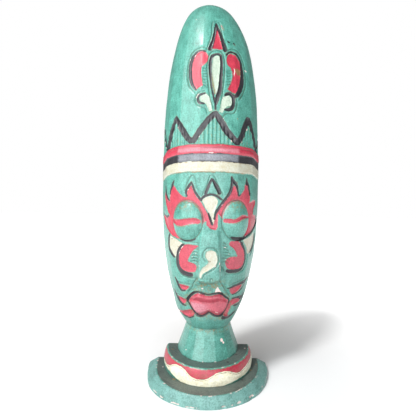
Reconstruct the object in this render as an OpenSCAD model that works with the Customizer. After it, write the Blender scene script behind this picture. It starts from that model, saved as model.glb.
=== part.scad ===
// Standing folk art mask, carved and painted wood.
// The carved head and its tall headdress are one half-round block with a flat back. It stands on a
// flared neck pillar and two half-round steps, held by hidden dowels and by screws from underneath.
// +Z is up, the face looks along -Y, and the origin is on the table at the middle of the lower step.

/* [Overall] */
// Height from the table to the tip of the headdress
total_height = 505; // [421:1:606]

/* [Lower step] */
// Width of the lower step where it meets the table
lower_width = 170; // [141:1:205]
// Depth of the lower step from its flat back to its front
lower_depth = 95; // [79:1:114]
// Thickness of the lower step
lower_thickness = 13; // [10.5:0.5:16]
// Height of the lower step's upright edge, below its bevel
lower_edge = 3; // [1:0.5:6]
// How far the bevel leans in at each side
lower_side_bevel = 11; // [2:0.5:14]
// How far the bevel leans in at the front
lower_front_bevel = 4; // [1:0.5:10]

/* [Upper step] */
// Width of the upper step at its foot
upper_width = 122; // [100:1:147]
// Depth of the upper step at its foot
upper_depth = 73; // [60:1:88]
// Thickness of the upper step
upper_thickness = 20; // [16:0.5:26]
// How far the rim of the upper step leans in
upper_rim_lean = 4; // [1:0.5:6]
// How far the wall of the upper step swells between foot and rim
upper_swell = 1.5; // [0:0.5:3]

/* [Neck pillar] */
// Height of the neck pillar
neck_height = 34.5; // [28:0.5:42]
// Width of the pillar's flared foot
foot_width = 86; // [71:1:104]
// Depth of the pillar's flared foot
foot_depth = 55; // [45:1:66]
// Width where the pillar meets the chin
waist_width = 62; // [52:1:74]
// Depth where the pillar meets the chin
waist_depth = 36; // [31:1:44]

/* [Head block] */
// Width of the head at its widest, without the headband
head_width = 134; // [112:1:160]
// Depth of the head at its widest, without the nose
head_depth = 74; // [61:1:89]
// Height of the widest part above the chin joint
widest_rise = 194.5; // [162:0.5:236]
// Height of the headband's lower edge above the chin joint
band_rise = 201.5; // [168:0.5:244]
// Height of the cream band
cream_band = 13; // [8:0.5:16]
// Height of the black band
black_band = 8; // [5:0.5:12]
// Height of the red roll
red_roll = 10; // [6:0.5:14]
// How far the bands stand out
band_proud = 1.2; // [0.5:0.1:3]

/* [Face] */
// Height of the nose tip above the chin joint
nose_rise = 77; // [64:1:92]
// Length of the nose from tip to brow
nose_length = 62; // [50:1:74]
// Width of the nose across the nostrils
nose_width = 28; // [23:1:34]
// How far the nose tip stands out
nose_out = 12; // [8:0.5:16]
// Height of the eyes above the chin joint
eye_rise = 143; // [119:1:165]
// Distance of each eye's centre from the middle, along the surface
eye_offset = 34; // [28:1:40]
// Width of each closed eye
eye_width = 42; // [34:1:50]
// Height of each closed eye
eye_height = 48; // [40:1:56]
// How far the closed eyes swell out
eye_out = 4; // [1:0.5:6]
// Height of the mouth line above the chin joint
mouth_rise = 41; // [34:1:50]
// Width of the lips
mouth_width = 60; // [48:1:70]
// Height of the lips
mouth_height = 31; // [24:1:37]
// How far the lips stand out
lips_out = 6; // [3:0.5:8]

/* [Joinery] */
// Diameter of the two dowels between neck and head
dowel_diameter = 10; // [8:0.5:12]
// Length of the dowels
dowel_length = 44; // [30:1:54]
// Distance between the two dowels
dowel_spacing = 25; // [20:1:30]
// Distance of the dowels from the flat back
dowel_inset = 16; // [13:1:19]
// Shank diameter of the wood screws
screw_diameter = 4.8; // [3.5:0.1:6]
// How far the neck screws bite into the pillar
neck_screw_bite = 15; // [12:0.5:20]
// Distance between the two neck screws
neck_screw_spacing = 50; // [48:1:52]
// Distance of the neck screws from the flat back
neck_screw_inset = 20; // [16:1:24]
// How far the step screws bite into the upper step
step_screw_bite = 13; // [10:0.5:14]
// Distance of the two side step screws from the sides of the upper step
side_screw_edge = 23; // [19:1:26]
// Distance of the front step screw from the front of the upper step
front_screw_edge = 13; // [10:1:16]

/* [Hidden] */
// Clearance round a dowel or a screw
fit_gap = 0.05;
// Room left for glue past the end of a dowel or a screw tip
end_gap = 1;
// Screw head, its slot, and the pocket that it sinks into
screw_head_diameter = screw_diameter + 4.2;
screw_head_height = 3;
slot_width = 1.2;
slot_depth = 1.4;
head_pocket_diameter = screw_head_diameter + 2;
head_pocket_depth = screw_head_height + 1;
// Screw thread and point
thread_pitch = 2;
thread_depth = 0.8;
tip_length = 5;
// Dowel ends and glue flutes
dowel_chamfer = 1.2;
flute_radius = 0.7;
flute_centre = 0.35;
// How deep the groove round each closed eye is
socket_sunk = 3;
// How deep the black band is cut
black_sunk = 0.6;
// The chin's boss
chin_width = 60;
chin_height = 26;
chin_out = 3;

// Heights of the joints, from the table up
upper_base_z = lower_thickness;
neck_base_z = upper_base_z + upper_thickness;
chin_z = neck_base_z + neck_height;
widest_z = chin_z + widest_rise;
cream_z = chin_z + band_rise;
black_z = cream_z + cream_band;
red_z = black_z + black_band;
band_top_z = red_z + red_roll;

// The flat back of every wooden piece lies in this plane
back_y = lower_depth / 2;

// Screw lengths under the head, from the bottom of the head pocket
neck_screw_length = neck_base_z - head_pocket_depth + neck_screw_bite;
step_screw_length = upper_base_z - head_pocket_depth + step_screw_bite;

// The three step screws: distance from the middle and from the flat back
side_screw_x = upper_width / 2 - side_screw_edge;
side_screw_inset = upper_depth / 2;
front_screw_inset = upper_depth - front_screw_edge;

// Angles round a half-round section, closer together at the front where the carving is
columns = 50;
front_crowding = 1.2;
angles = [for (i = [-columns / 2 : columns / 2])
    let (u = 2 * i / columns) 90 * sign(u) * pow(abs(u), front_crowding)];

// ---- half-round lofts ----

// One section: a half ellipse with its flat side on the back plane, pushed out by relief(angle)
function section(z, half_width, depth, out = []) =
    [for (i = [0 : len(angles) - 1])
        let (
            t = angles[i],
            nx = depth * sin(t),
            ny = half_width * cos(t),
            norm = sqrt(nx * nx + ny * ny),
            push = len(out) > 0 ? out[i] : 0
        )
        [
            half_width * sin(t) + push * nx / norm,
            back_y - depth * cos(t) - push * ny / norm,
            z
        ]];

// A closed solid through a stack of sections, from the lowest to the highest
module loft(rings) {
    n = len(rings[0]);
    last = len(rings) - 1;
    sides = [for (k = [0 : last - 1], j = [0 : n - 1])
        let (
            a = k * n + j,
            b = k * n + (j + 1) % n,
            c = (k + 1) * n + (j + 1) % n,
            d = (k + 1) * n + j
        )
        each [[a, d, c], [a, c, b]]];
    bottom = [for (j = [0 : n - 1]) j];
    top = [for (j = [n - 1 : -1 : 0]) last * n + j];
    polyhedron(points = [for (r = rings) each r], faces = concat([bottom], sides, [top]));
}

// ---- carved head ----

// Smooth step from 0 at a to 1 at b
function ease(a, b, v) = let (u = max(0, min(1, (v - a) / (b - a)))) u * u * (3 - 2 * u);

// A rounded bump: 1 in the middle, 0 from radius 1 outward
function dome(r) = r < 1 ? sqrt(1 - r * r) : 0;

// How full the block is between its widest part and its ends
function crown_fill(u) = pow(1 - pow(u, 2.5), 1 / 2.7);
function jaw_fill(u) = pow(1 - pow(u, 3), 0.9);
function head_size(z, widest, waist) = z > widest_z
    ? widest * crown_fill(min(1, (z - widest_z) / (total_height - widest_z)))
    : waist + (widest - waist) * jaw_fill(min(1, (widest_z - z) / (widest_z - chin_z)));
function head_half_width(z) = head_size(z, head_width / 2, waist_width / 2);
function head_deep(z) = head_size(z, head_depth, waist_depth);

// Headband: a flat cream band, a sunk black one and a red roll
function band_relief(z) =
    z >= cream_z && z <= black_z ? band_proud
    : z > black_z && z < red_z ? -black_sunk
    : z >= red_z && z <= band_top_z ? band_proud * dome(abs(2 * (z - red_z) / red_roll - 1) * 0.85)
    : 0;

// Nose: a ridge that widens and rises towards its tip and is undercut below it
function nose_relief(q, z) =
    let (
        tip_z = chin_z + nose_rise,
        u = max(0, min(1, (z - tip_z) / nose_length)),
        half = nose_width / 2 * (1 - 0.5 * ease(0, 0.5, u)),
        rise = nose_out * (1 - 0.75 * u) * (1 - ease(0.7, 1.3, u)),
        under = ease(-14, -7, z - tip_z)
    )
    z > tip_z + nose_length ? 0 : rise * under * (1 - ease(half * 0.35, half * 1.3, abs(q)));

// Closed eyes: a swelling oval in a shallow socket
function eye_relief(q, z) =
    let (
        x = (abs(q) - eye_offset) / (eye_width / 2),
        y = (z - chin_z - eye_rise) / (eye_height / 2),
        r = sqrt(x * x + y * y)
    )
    r < 1 ? (eye_out + socket_sunk) * dome(r) - socket_sunk : -socket_sunk * (1 - ease(1, 1.3, r));

// Lips: two rolls that part at the mouth line
function lip_relief(q, z) =
    let (
        x = q / (mouth_width / 2),
        y = (z - chin_z - mouth_rise + 1) / (mouth_height / 2),
        r = sqrt(x * x + y * y)
    )
    lips_out * dome(r) * (0.55 + 0.45 * ease(0, 0.4, abs(y)));

// Chin: a soft boss over the joint
function chin_relief(q, z) =
    chin_out * dome(sqrt(pow(q / (chin_width / 2), 2) + pow((z - chin_z) / (chin_height / 2) - 1.08, 2)));

function head_relief(t, z) =
    let (q = t * PI / 180 * (head_half_width(z) + head_deep(z)) / 2)
    z >= cream_z
        ? band_relief(z)
        : max(nose_relief(q, z), eye_relief(q, z)) + lip_relief(q, z) + chin_relief(q, z);

// Section heights: close together over the face, exact at the bands' edges, wide on the headdress
edge = 0.4;
face_rows = [for (i = [0 : 41]) chin_z + (cream_z - edge - chin_z) * i / 41];
band_rows = [
    cream_z, black_z, black_z + edge, red_z - edge, red_z, red_z + red_roll * 0.2,
    red_z + red_roll * 0.5, red_z + red_roll * 0.8, band_top_z, band_top_z + edge
];
crown_rows = [for (i = [1 : 13])
    band_top_z + (total_height - 0.02 - band_top_z) * sin(90 * i / 13)];

module mask_head() {
    rows = concat(face_rows, band_rows, crown_rows);
    color("mediumaquamarine")
    difference() {
        loft([for (z = rows)
            section(z, head_half_width(z), head_deep(z), [for (t = angles) head_relief(t, z)])]);
        for (side = [-1, 1])
            dowel_socket(side, chin_z - 1, dowel_length / 2 + end_gap + 1);
    }
}

// ---- stand ----

// The pillar narrows in a slightly hollow curve from its foot to its waist
module neck_pillar() {
    color("mediumaquamarine")
    difference() {
        loft([for (i = [0 : 8])
            let (u = i / 8, flare = pow(1 - u, 1.1))
            section(
                neck_base_z + neck_height * u,
                waist_width / 2 + (foot_width - waist_width) / 2 * flare,
                waist_depth + (foot_depth - waist_depth) * flare
            )]);
        for (side = [-1, 1]) {
            dowel_socket(side, chin_z - dowel_length / 2, dowel_length);
            screw_hole(side * neck_screw_spacing / 2, neck_screw_inset, neck_base_z - 1,
                head_pocket_depth + neck_screw_length + end_gap);
        }
    }
}

module upper_step() {
    color("indianred")
    difference() {
        loft([for (i = [0 : 6])
            let (u = i / 6, lean = upper_rim_lean * u * u - upper_swell * sin(180 * u))
            section(
                upper_base_z + upper_thickness * u,
                upper_width / 2 - lean,
                upper_depth - lean
            )]);
        for (side = [-1, 1])
            screw_hole(side * neck_screw_spacing / 2, neck_screw_inset, upper_base_z - 1, neck_base_z + 1);
        each_step_screw()
            screw_hole(0, 0, upper_base_z - 1, head_pocket_depth + step_screw_length + end_gap);
    }
}

module lower_step() {
    color("darkseagreen")
    difference() {
        loft([
            section(0, lower_width / 2, lower_depth),
            section(lower_edge, lower_width / 2, lower_depth),
            section(lower_thickness, lower_width / 2 - lower_side_bevel, lower_depth - lower_front_bevel)
        ]);
        for (side = [-1, 1])
            screw_pocket(side * neck_screw_spacing / 2, neck_screw_inset);
        each_step_screw()
            screw_pocket(0, 0);
    }
}

// ---- joinery ----

// Places its child at each of the three step screws, measured from the flat back
module each_step_screw() {
    for (side = [-1, 1])
        translate([side * side_screw_x, -side_screw_inset, 0]) children();
    translate([0, -front_screw_inset, 0]) children();
}

module dowel_socket(side, z, length) {
    translate([side * dowel_spacing / 2, back_y - dowel_inset, z])
        cylinder(d = dowel_diameter + 2 * fit_gap, h = length, $fn = 48);
}

// A straight hole for a screw's shank, between two heights
module screw_hole(x, inset, z0, z1) {
    translate([x, back_y - inset, z0])
        cylinder(d = screw_diameter + 2 * fit_gap, h = z1 - z0, $fn = 48);
}

// A screw's way through the lower step: a flat-bottomed pocket for the head and a hole above it
module screw_pocket(x, inset) {
    screw_hole(x, inset, -1, lower_thickness + 1);
    translate([x, back_y - inset, -1])
        cylinder(d = head_pocket_diameter, h = head_pocket_depth + 1, $fn = 48);
}

// A wooden dowel with chamfered ends and glue flutes
module dowel(side) {
    r = dowel_diameter / 2;
    color("burlywood")
    translate([side * dowel_spacing / 2, back_y - dowel_inset, chin_z - dowel_length / 2])
    difference() {
        rotate_extrude($fn = 48)
            polygon([
                [0, 0], [r - dowel_chamfer, 0], [r, dowel_chamfer],
                [r, dowel_length - dowel_chamfer], [r - dowel_chamfer, dowel_length], [0, dowel_length]
            ]);
        for (i = [0 : 7])
            rotate([0, 0, 45 * i])
                translate([r + flute_centre, 0, -1])
                    cylinder(r = flute_radius, h = dowel_length + 2, $fn = 16);
    }
}

// A slotted pan-head wood screw that points up, with its head's seat at z = 0
module wood_screw(length) {
    r = screw_diameter / 2;
    core = r - thread_depth;
    thread_start = length * 0.35;
    turns = floor((length - thread_start - tip_length) / thread_pitch);
    color("darkgray")
    difference() {
        rotate_extrude($fn = 48)
            polygon(concat(
                [[0, -screw_head_height], [screw_head_diameter / 2 - 1.2, -screw_head_height],
                 [screw_head_diameter / 2 - 0.3, -screw_head_height + 0.7],
                 [screw_head_diameter / 2, -screw_head_height + 1.6],
                 [screw_head_diameter / 2, 0], [r, 0], [r, thread_start]],
                [for (i = [0 : turns - 1]) each [
                    [core, thread_start + thread_pitch * (i + 0.3)],
                    [r, thread_start + thread_pitch * (i + 0.8)]]],
                [[core, thread_start + thread_pitch * turns], [0, length]]
            ));
        translate([-screw_head_diameter, -slot_width / 2, -screw_head_height - 1])
            cube([2 * screw_head_diameter, slot_width, slot_depth + 1]);
    }
}

module neck_screw(side) {
    translate([side * neck_screw_spacing / 2, back_y - neck_screw_inset, head_pocket_depth])
        rotate([0, 0, side * 35]) wood_screw(neck_screw_length);
}

module step_screw(x, inset, turn) {
    translate([x, back_y - inset, head_pocket_depth])
        rotate([0, 0, turn]) wood_screw(step_screw_length);
}

mask_head();
neck_pillar();
upper_step();
lower_step();
dowel(-1);  // head_dowel_left
dowel(1);  // head_dowel_right
neck_screw(-1);  // neck_screw_left
neck_screw(1);  // neck_screw_right
step_screw(-side_screw_x, side_screw_inset, 80);  // step_screw_left
step_screw(side_screw_x, side_screw_inset, 20);  // step_screw_right
step_screw(0, front_screw_inset, -50);  // step_screw_front
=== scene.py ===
# Standing folk art mask: carved softwood under hand-brushed enamel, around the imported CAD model.
# Carving and paint are worked out in millimetres on the unrolled front: across, and up from the table.
import math

import bpy
import numpy as np
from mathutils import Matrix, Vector


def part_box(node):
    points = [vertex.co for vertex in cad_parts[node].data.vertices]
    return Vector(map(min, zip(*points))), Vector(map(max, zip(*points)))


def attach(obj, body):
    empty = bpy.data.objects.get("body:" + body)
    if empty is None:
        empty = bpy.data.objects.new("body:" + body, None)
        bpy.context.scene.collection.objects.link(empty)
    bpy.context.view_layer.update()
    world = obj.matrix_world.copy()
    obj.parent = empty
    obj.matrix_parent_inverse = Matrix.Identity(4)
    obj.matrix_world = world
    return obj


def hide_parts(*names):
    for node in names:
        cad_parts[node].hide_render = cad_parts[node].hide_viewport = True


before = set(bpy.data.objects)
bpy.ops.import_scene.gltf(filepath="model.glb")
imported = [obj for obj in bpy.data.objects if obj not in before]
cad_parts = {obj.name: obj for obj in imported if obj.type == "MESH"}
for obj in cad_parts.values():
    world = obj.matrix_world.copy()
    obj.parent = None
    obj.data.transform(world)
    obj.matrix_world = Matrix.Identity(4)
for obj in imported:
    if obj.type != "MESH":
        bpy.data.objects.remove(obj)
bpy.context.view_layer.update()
mm = 0.001
farAway = 99.0  # stands for "no ornament near here", in mm
print("frame loaded:", len(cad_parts), "nodes")


def boxInMm(node):
    low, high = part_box(node)
    return np.array(low) / mm, np.array(high) / mm


backY = boxInMm("mask_head")[1][1]  # the flat back of every wooden piece


def ease(low, high, value):  # 0 below low, 1 above high, smooth between
    share = np.clip((value - low) / (high - low), 0, 1)
    return share * share * (3 - 2 * share)


def dome(radius):
    return np.sqrt(np.clip(1 - radius * radius, 0, None))


def smoothPath(points, closed, steps=6):
    # A curve through the points. In an area a third value of 1 marks a sharp corner;
    # in a line the third value is the width there, and it comes back with the curve.
    place = np.array([complex(point[0], point[1]) for point in points])
    third = np.array([point[2] if len(point) > 2 else 0.0 for point in points], float)
    count = len(points)
    heading = np.roll(place, -1) - np.roll(place, 1)
    heading = heading / np.maximum(np.abs(heading), 1e-6)
    share = np.arange(steps) / steps
    path, widths = [], []
    for i in range(count if closed else count - 1):
        j = (i + 1) % count
        chord = place[j] - place[i]
        atEnds = not closed and (i == 0 or j == count - 1)
        leave = chord if (closed and third[i]) or (atEnds and i == 0) else heading[i] * abs(chord)
        arrive = chord if (closed and third[j]) or (atEnds and j == count - 1) else heading[j] * abs(chord)
        path.extend(
            place[i] * (2 * share**3 - 3 * share**2 + 1)
            + leave * (share**3 - 2 * share**2 + share)
            + place[j] * (3 * share**2 - 2 * share**3)
            + arrive * (share**3 - share**2)
        )
        widths.extend(third[i] + (third[j] - third[i]) * share)
    if not closed:
        path.append(place[-1])
        widths.append(third[-1])
    return np.array(path), np.array(widths)


def distanceTo(spots, points, closed):
    # Distance in mm to the edge of an area or of a line with width, negative inside
    path, widths = smoothPath(points, closed)
    away = np.full(spots.shape, farAway)
    reach = 12
    near = (
        (spots.real > path.real.min() - reach)
        & (spots.real < path.real.max() + reach)
        & (spots.imag > path.imag.min() - reach)
        & (spots.imag < path.imag.max() + reach)
    )
    spot = spots[near]
    nearest = np.full(spot.shape, farAway)
    inside = np.zeros(spot.shape, bool)
    last = len(path) if closed else len(path) - 1
    for i in range(last):
        start, end = path[i], path[(i + 1) % len(path)]
        span = end - start
        if abs(span) < 1e-6:
            continue
        along = np.clip(((spot - start) * np.conj(span)).real / abs(span) ** 2, 0, 1)
        reached = np.abs(spot - start - along * span)
        if closed:
            crosses = (start.imag > spot.imag) != (end.imag > spot.imag)
            if span.imag:
                inside ^= crosses & (spot.real < start.real + (spot.imag - start.imag) * span.real
                                     / span.imag)
        else:
            reached -= (widths[i] + along * (widths[i + 1] - widths[i])) / 2
        nearest = np.minimum(nearest, reached)
    away[near] = np.where(inside, -nearest, nearest)
    return away


def unevenness(across, up, size, seed):
    # A smooth random field from -1 to 1 with bumps about size mm apart
    table = np.random.default_rng(seed).uniform(-1, 1, (128, 128))
    x, y = np.asarray(across) / size + 40, np.asarray(up) / size + 40
    i, j = np.floor(x).astype(int), np.floor(y).astype(int)
    u, v = ease(0, 1, x - i), ease(0, 1, y - j)
    rows, nextRows = i % 128, (i + 1) % 128
    columns, nextColumns = j % 128, (j + 1) % 128
    low = table[rows, columns] * (1 - u) + table[nextRows, columns] * u
    high = table[rows, nextColumns] * (1 - u) + table[nextRows, nextColumns] * u
    return low * (1 - v) + high * v


# Ornament: (paint, points) is a painted area, (paint, points, "line") a brushed or gouged line

headdressOrnament = [
    # spearhead
    ("red", [(6.7, 449, 1), (0, 420.3, 1), (14.9, 420.3, 1)]),
    ("black", [(6, 457.5, 0.8), (4.6, 449, 2.2), (3.3, 440, 3), (0.9, 430, 3.4), (-2.4, 420.5, 4.8)], "line"),
    ("black", [(6, 457.5, 0.8), (8, 450, 2.4), (11.8, 440, 3), (14.7, 430, 3.8), (17.6, 420.5, 5)], "line"),
    ("cut", [(-7, 419, 1), (-1, 437, 1.2), (6, 462, 1), (15, 438, 1.2), (23, 419, 1)], "line"),
    # left lobe
    ("red",
     [(-14.7, 417), (-8, 415.7), (-5.1, 411.7), (-4.7, 407.7), (-6, 403), (-9.3, 399.7), (-12.7, 396.7, 1),
             (-13.3, 390), (-12.3, 382), (-11.2, 374), (-11, 371.7, 1), (-14.7, 371), (-19.3, 368.7, 1),
             (-24, 377),
             (-26.3, 386), (-26.7, 397), (-25.6, 405), (-22.7, 411.7)]),
    ("black", [(-8, 416.5, 1), (-14, 418.3, 1.2), (-20, 416.5, 1.8), (-25, 411, 3.4), (-28.2, 402, 4),
               (-28.6, 391, 4), (-27, 380, 3.6), (-22.6, 371, 2.4), (-19.5, 368, 1)], "line"),
    ("cut",
     [(-5, 421, 1.2), (-13, 423, 1.6), (-24, 420, 1.8), (-31, 409, 1.8), (-33.4, 392, 1.8), (-30.6, 375, 1.8),
             (-22, 364.5, 1.2)], "line"),
    # right lobe
    ("red",
     [(29.3, 416.3), (24, 416.3), (20.7, 412.3), (20, 406.3), (21.6, 401), (25.3, 398.3), (27.3, 394.3),
             (28.3, 389), (27.3, 382.3), (24.7, 375.7), (21.6, 370, 1), (26, 367.7), (32, 365.7, 1),
             (36.7, 373),
             (39.6, 381), (40.7, 390), (41, 399.7), (40, 407.7), (36, 413.7)]),
    ("black",
     [(19.5, 414, 1.2), (24, 418.3, 1.4), (30, 419, 1.4), (36.5, 416.5, 2), (41.3, 410, 2.4), (43.3, 401, 4),
               (43.8, 391, 5.6), (43, 381, 6.4), (39.5, 372, 6), (34.8, 364.5, 4.5), (31.5, 361.5, 1.5)],
               "line"),
    ("cut",
     [(21.5, 421.5, 1.2), (30, 424.5, 1.6), (41, 421.5, 1.8), (48, 411, 1.8), (51, 395, 1.8),
      (50.4, 380, 1.8),
             (45, 368, 1.6), (38, 359, 1.2)], "line"),
    ("tan", [(32, 397.5), (40, 398.5), (40.5, 392), (35, 391, 1)]),
    ("chip", [(30.5, 400, 0.8), (31.5, 394, 1.3), (30.5, 388, 0.7)], "line"),
    # long drop between them
    ("pale",
     [(7.3, 411.7), (2.7, 409), (1, 403.7), (0.4, 395.7), (0.7, 387.7), (2, 379.7), (3.3, 371.7), (4.7, 365),
              (6.7, 358, 1), (8, 365), (9.3, 374), (10.4, 383.7), (11, 393), (11.3, 402), (10.7, 410)]),
    ("black",
     [(6.7, 413.7, 1.6), (0.7, 410.3, 3), (-1.3, 405, 3.3), (-2, 395.7, 3.3), (-1.3, 386, 2.6), (0, 372, 1.2),
               (2.5, 362, 1.6), (5, 352, 1.6)], "line"),
    ("tan", [(0.2, 388, 1), (2, 375, 2), (4.5, 363, 1.6)], "line"),
    ("black", [(6.7, 413.7, 1.6), (11.3, 412.3, 2.6), (13, 406.3, 3.2), (13, 395.7, 3), (12.3, 385, 3.4),
               (11.7, 374.3, 4), (10.7, 366.3, 5), (8, 358.3, 4.6), (6, 350.3, 2.6), (5.7, 344, 1.2)],
               "line"),
    ("cut",
     [(3, 346, 1), (-1, 356, 1.3), (-3.9, 375, 1.5), (-5.4, 390, 1.5), (-4.8, 405, 1.5), (-1, 415.5, 1.5),
             (6.7, 419, 1.5), (13.4, 417, 1.5), (17.2, 408, 1.5), (17.8, 395, 1.5), (16.8, 380, 1.5),
             (15.2, 365, 1.3),
             (13, 352, 1)], "line"),
    # beads and their legs
    ("pale",
     [(-6.5, 362.2), (-11, 361.5), (-13.7, 357.5), (-12.3, 353), (-8.5, 351), (-5, 347), (-2.5, 341, 1),
              (1.5, 342, 1), (0, 350), (-1.5, 357)]),
    ("pale",
     [(18, 361), (24, 361.5), (28, 357), (26.5, 350.5), (21, 348.5), (17, 344), (14.5, 340, 1),
      (10.5, 341.5, 1),
              (13, 350), (14.5, 357)]),
    ("black",
     [(-8, 363, 1.4), (-15.3, 360.3, 2.4), (-17, 356.3, 2.6), (-14.7, 351.7, 2.4), (-8.7, 350.3, 1.2)],
     "line"),
    ("black", [(18.7, 362.3, 2.5), (24, 364.7, 3.4), (28.5, 361.5, 3.8), (30, 354.3, 4), (28, 347.7, 4),
               (22.7, 344.5, 3.2), (18, 344.3, 1.6)], "line"),
    ("cut",
     [(-8, 366.5, 1), (-16, 364.5, 1.4), (-21, 357, 1.5), (-18.4, 349.5, 1.5), (-12, 346, 1.3),
      (-7, 344.5, 1.2),
             (-4.5, 338, 1)], "line"),
    ("cut",
     [(27, 368, 1), (34, 361, 1.4), (35, 351, 1.5), (30.4, 341.5, 1.5), (20, 339.5, 1.3), (15, 334, 1)],
     "line"),
]

# The zigzag's brush strokes, and the corners that the gouge flutes below it run up to
zigzagStrokes = [
    [(-88, 330, 6), (-80, 312, 6), (-70, 300.5, 6)],
    [(-67.5, 300, 6.5), (-60, 320, 6.5), (-50, 337.5, 4.5)],
    [(-49, 336, 5), (-43.5, 328, 7), (-38, 320, 7.6), (-31, 310.5, 7), (-25.5, 305.5, 6)],
    [(-22, 306.5, 6.5), (-12.5, 319.5, 6.5), (-4, 330, 6.5), (4, 338, 6)],
    [(6, 338.5, 6), (13, 330, 7.5), (20.5, 319, 7.5), (29, 311, 7), (35, 305.5, 6.5)],
    [(37, 306, 6.5), (43, 315, 7.5), (48, 325, 8.2), (54.5, 336.5, 8)],
    [(57, 337, 7), (64, 328, 6.5), (70, 319, 6.5), (76, 309, 6), (80, 303, 5)],
    [(82, 303, 5), (95, 325, 6), (105, 340, 6)],
]
zigzagCorners = [(-90, 334), (-69, 300), (-50, 337), (-24, 305), (5, 339), (36, 305), (55.5, 338),
                 (81, 302), (105, 340)]

bandOrnament = [
    # pale cream line on the black band's lower edge: cream paint, and a painted highlight on that edge
    ("cream", [(-14, 282, 0.8), (0, 282.6, 2), (16, 282.3, 1.8), (37, 281.8, 0.8)], "line"),
    ("tan", [(-47, 280.2, 0.5), (-20, 280.8, 1), (10, 280.8, 0.9), (45, 280.4, 0.6), (70, 278.6, 0.8)],
     "line"),
    ("tan",
     [(-60, 268.2, 0.6), (-30, 268.6, 0.8), (-14, 268.4, 1), (10, 268.6, 0.8), (26, 268.8, 1),
      (50, 268.4, 0.6)],
     "line"),
    ("chip", [(-4, 291, 0.7), (2, 291.2, 1.5), (7, 290.8, 0.7)], "line"),
]

browOrnament = [
    # caret and arc over the brow drop
    ("black", [(2, 260, 1.5), (-2.2, 251, 3), (-5.3, 243, 3)], "line"),
    ("black", [(3.5, 259.5, 2), (8.5, 251, 4.2), (12.3, 244, 4)], "line"),
    ("cut", [(-10, 240, 1), (-3.5, 253, 1.3), (2.4, 265, 1), (10.5, 254, 1.3), (17.5, 241, 1)], "line"),
    ("black", [(-11.7, 234.8, 1.2), (-7.8, 238.7, 1.8), (-3.3, 240.9, 2), (2.2, 241.8, 2), (7.8, 240.5, 2),
               (12.2, 237.8, 1.8), (15.6, 235.9, 1.2)], "line"),
    ("cream",
     [(-9.4, 234.8), (-5.6, 238.1), (0, 239.8), (5.6, 239.2), (8.9, 236.4), (10.2, 234.2), (9.8, 230.9),
               (8.3, 227.6), (6.1, 222), (5.6, 215.3), (5.8, 209.8), (4.8, 205, 1), (2.8, 210.9),
               (1.1, 215.9),
               (-1.7, 220.9), (-5.6, 226.4), (-8.9, 233.1)]),
    ("cut", [(-10.4, 233.4, 0.8), (-6.8, 226, 0.9), (-3, 220, 0.9), (0, 214.6, 0.9), (2.6, 208, 0.8)],
     "line"),
    ("cut", [(-34.5, 246, 1), (-31, 255, 1.3), (-22.4, 264.5, 1.3), (-17.4, 251, 1.3), (-11.4, 241, 1)],
     "line"),
]

# The red flames round both eyes, down to a point on the nose. The eyes themselves stay mint.
flames = [
    ("red",
     [(1.7, 208.7), (-1.1, 215.3), (-4.4, 222), (-8.9, 228.7), (-12.5, 234), (-16.9, 239), (-20, 243.5),
             (-22.5, 248.3), (-24.4, 252.8, 1), (-27.5, 249.5), (-29.6, 246), (-30.6, 241), (-30, 238.3, 1),
             (-36.3, 239.5), (-41.3, 243.3), (-46.3, 247.6), (-50, 251.4), (-53.8, 254.3, 1), (-57.5, 249.5),
             (-59.1, 244.5), (-60, 239.5), (-60.3, 234.5, 1), (-65, 235.8), (-70, 240), (-75, 245),
             (-77.5, 247, 1),
             (-76.3, 240.8), (-74.4, 235.8), (-71.3, 229.5), (-67.5, 224.5), (-63.8, 219.5),
             (-60.8, 216.3, 1),
             (-70, 213.9), (-78.8, 215.8), (-86, 217.2, 1), (-81.3, 212), (-75, 204.5), (-67.5, 198.3),
             (-60, 193.3),
             (-52.5, 190.1), (-45, 188), (-40.6, 187.8, 1), (-25, 197), (-10, 205), (-4.5, 209.8),
             (-3.3, 205.3),
             (0, 202), (5.6, 199.8), (9.4, 201.4), (10.6, 206.4), (10.6, 212), (11.7, 218.7), (25, 200),
             (41.3, 190.5, 1), (48.8, 190.8), (56.3, 192), (62.5, 194.5), (70, 198.3), (76.3, 200.8),
             (82.5, 204.5),
             (88, 212, 1), (80, 216), (69.4, 218.5, 1), (70, 222), (72.5, 227), (76.3, 232), (78.7, 236.6, 1),
             (74.4, 237), (68.8, 237), (63.8, 235.1), (60, 233.5, 1), (60.6, 240.8), (59.4, 247), (56.9, 252),
             (53.8, 256, 1), (50, 255.1), (49.4, 251.4), (46.9, 247), (43.8, 243.9), (40.2, 240.7, 1),
             (38.3, 242),
             (36.1, 247), (33.9, 252), (31.7, 254, 1), (29.4, 249.8), (27.8, 244.2), (24.4, 239.8),
             (19.4, 234.2),
             (15.6, 229.2), (10, 222.5), (7, 216), (5.5, 209.5, 1)]),
]
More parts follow.
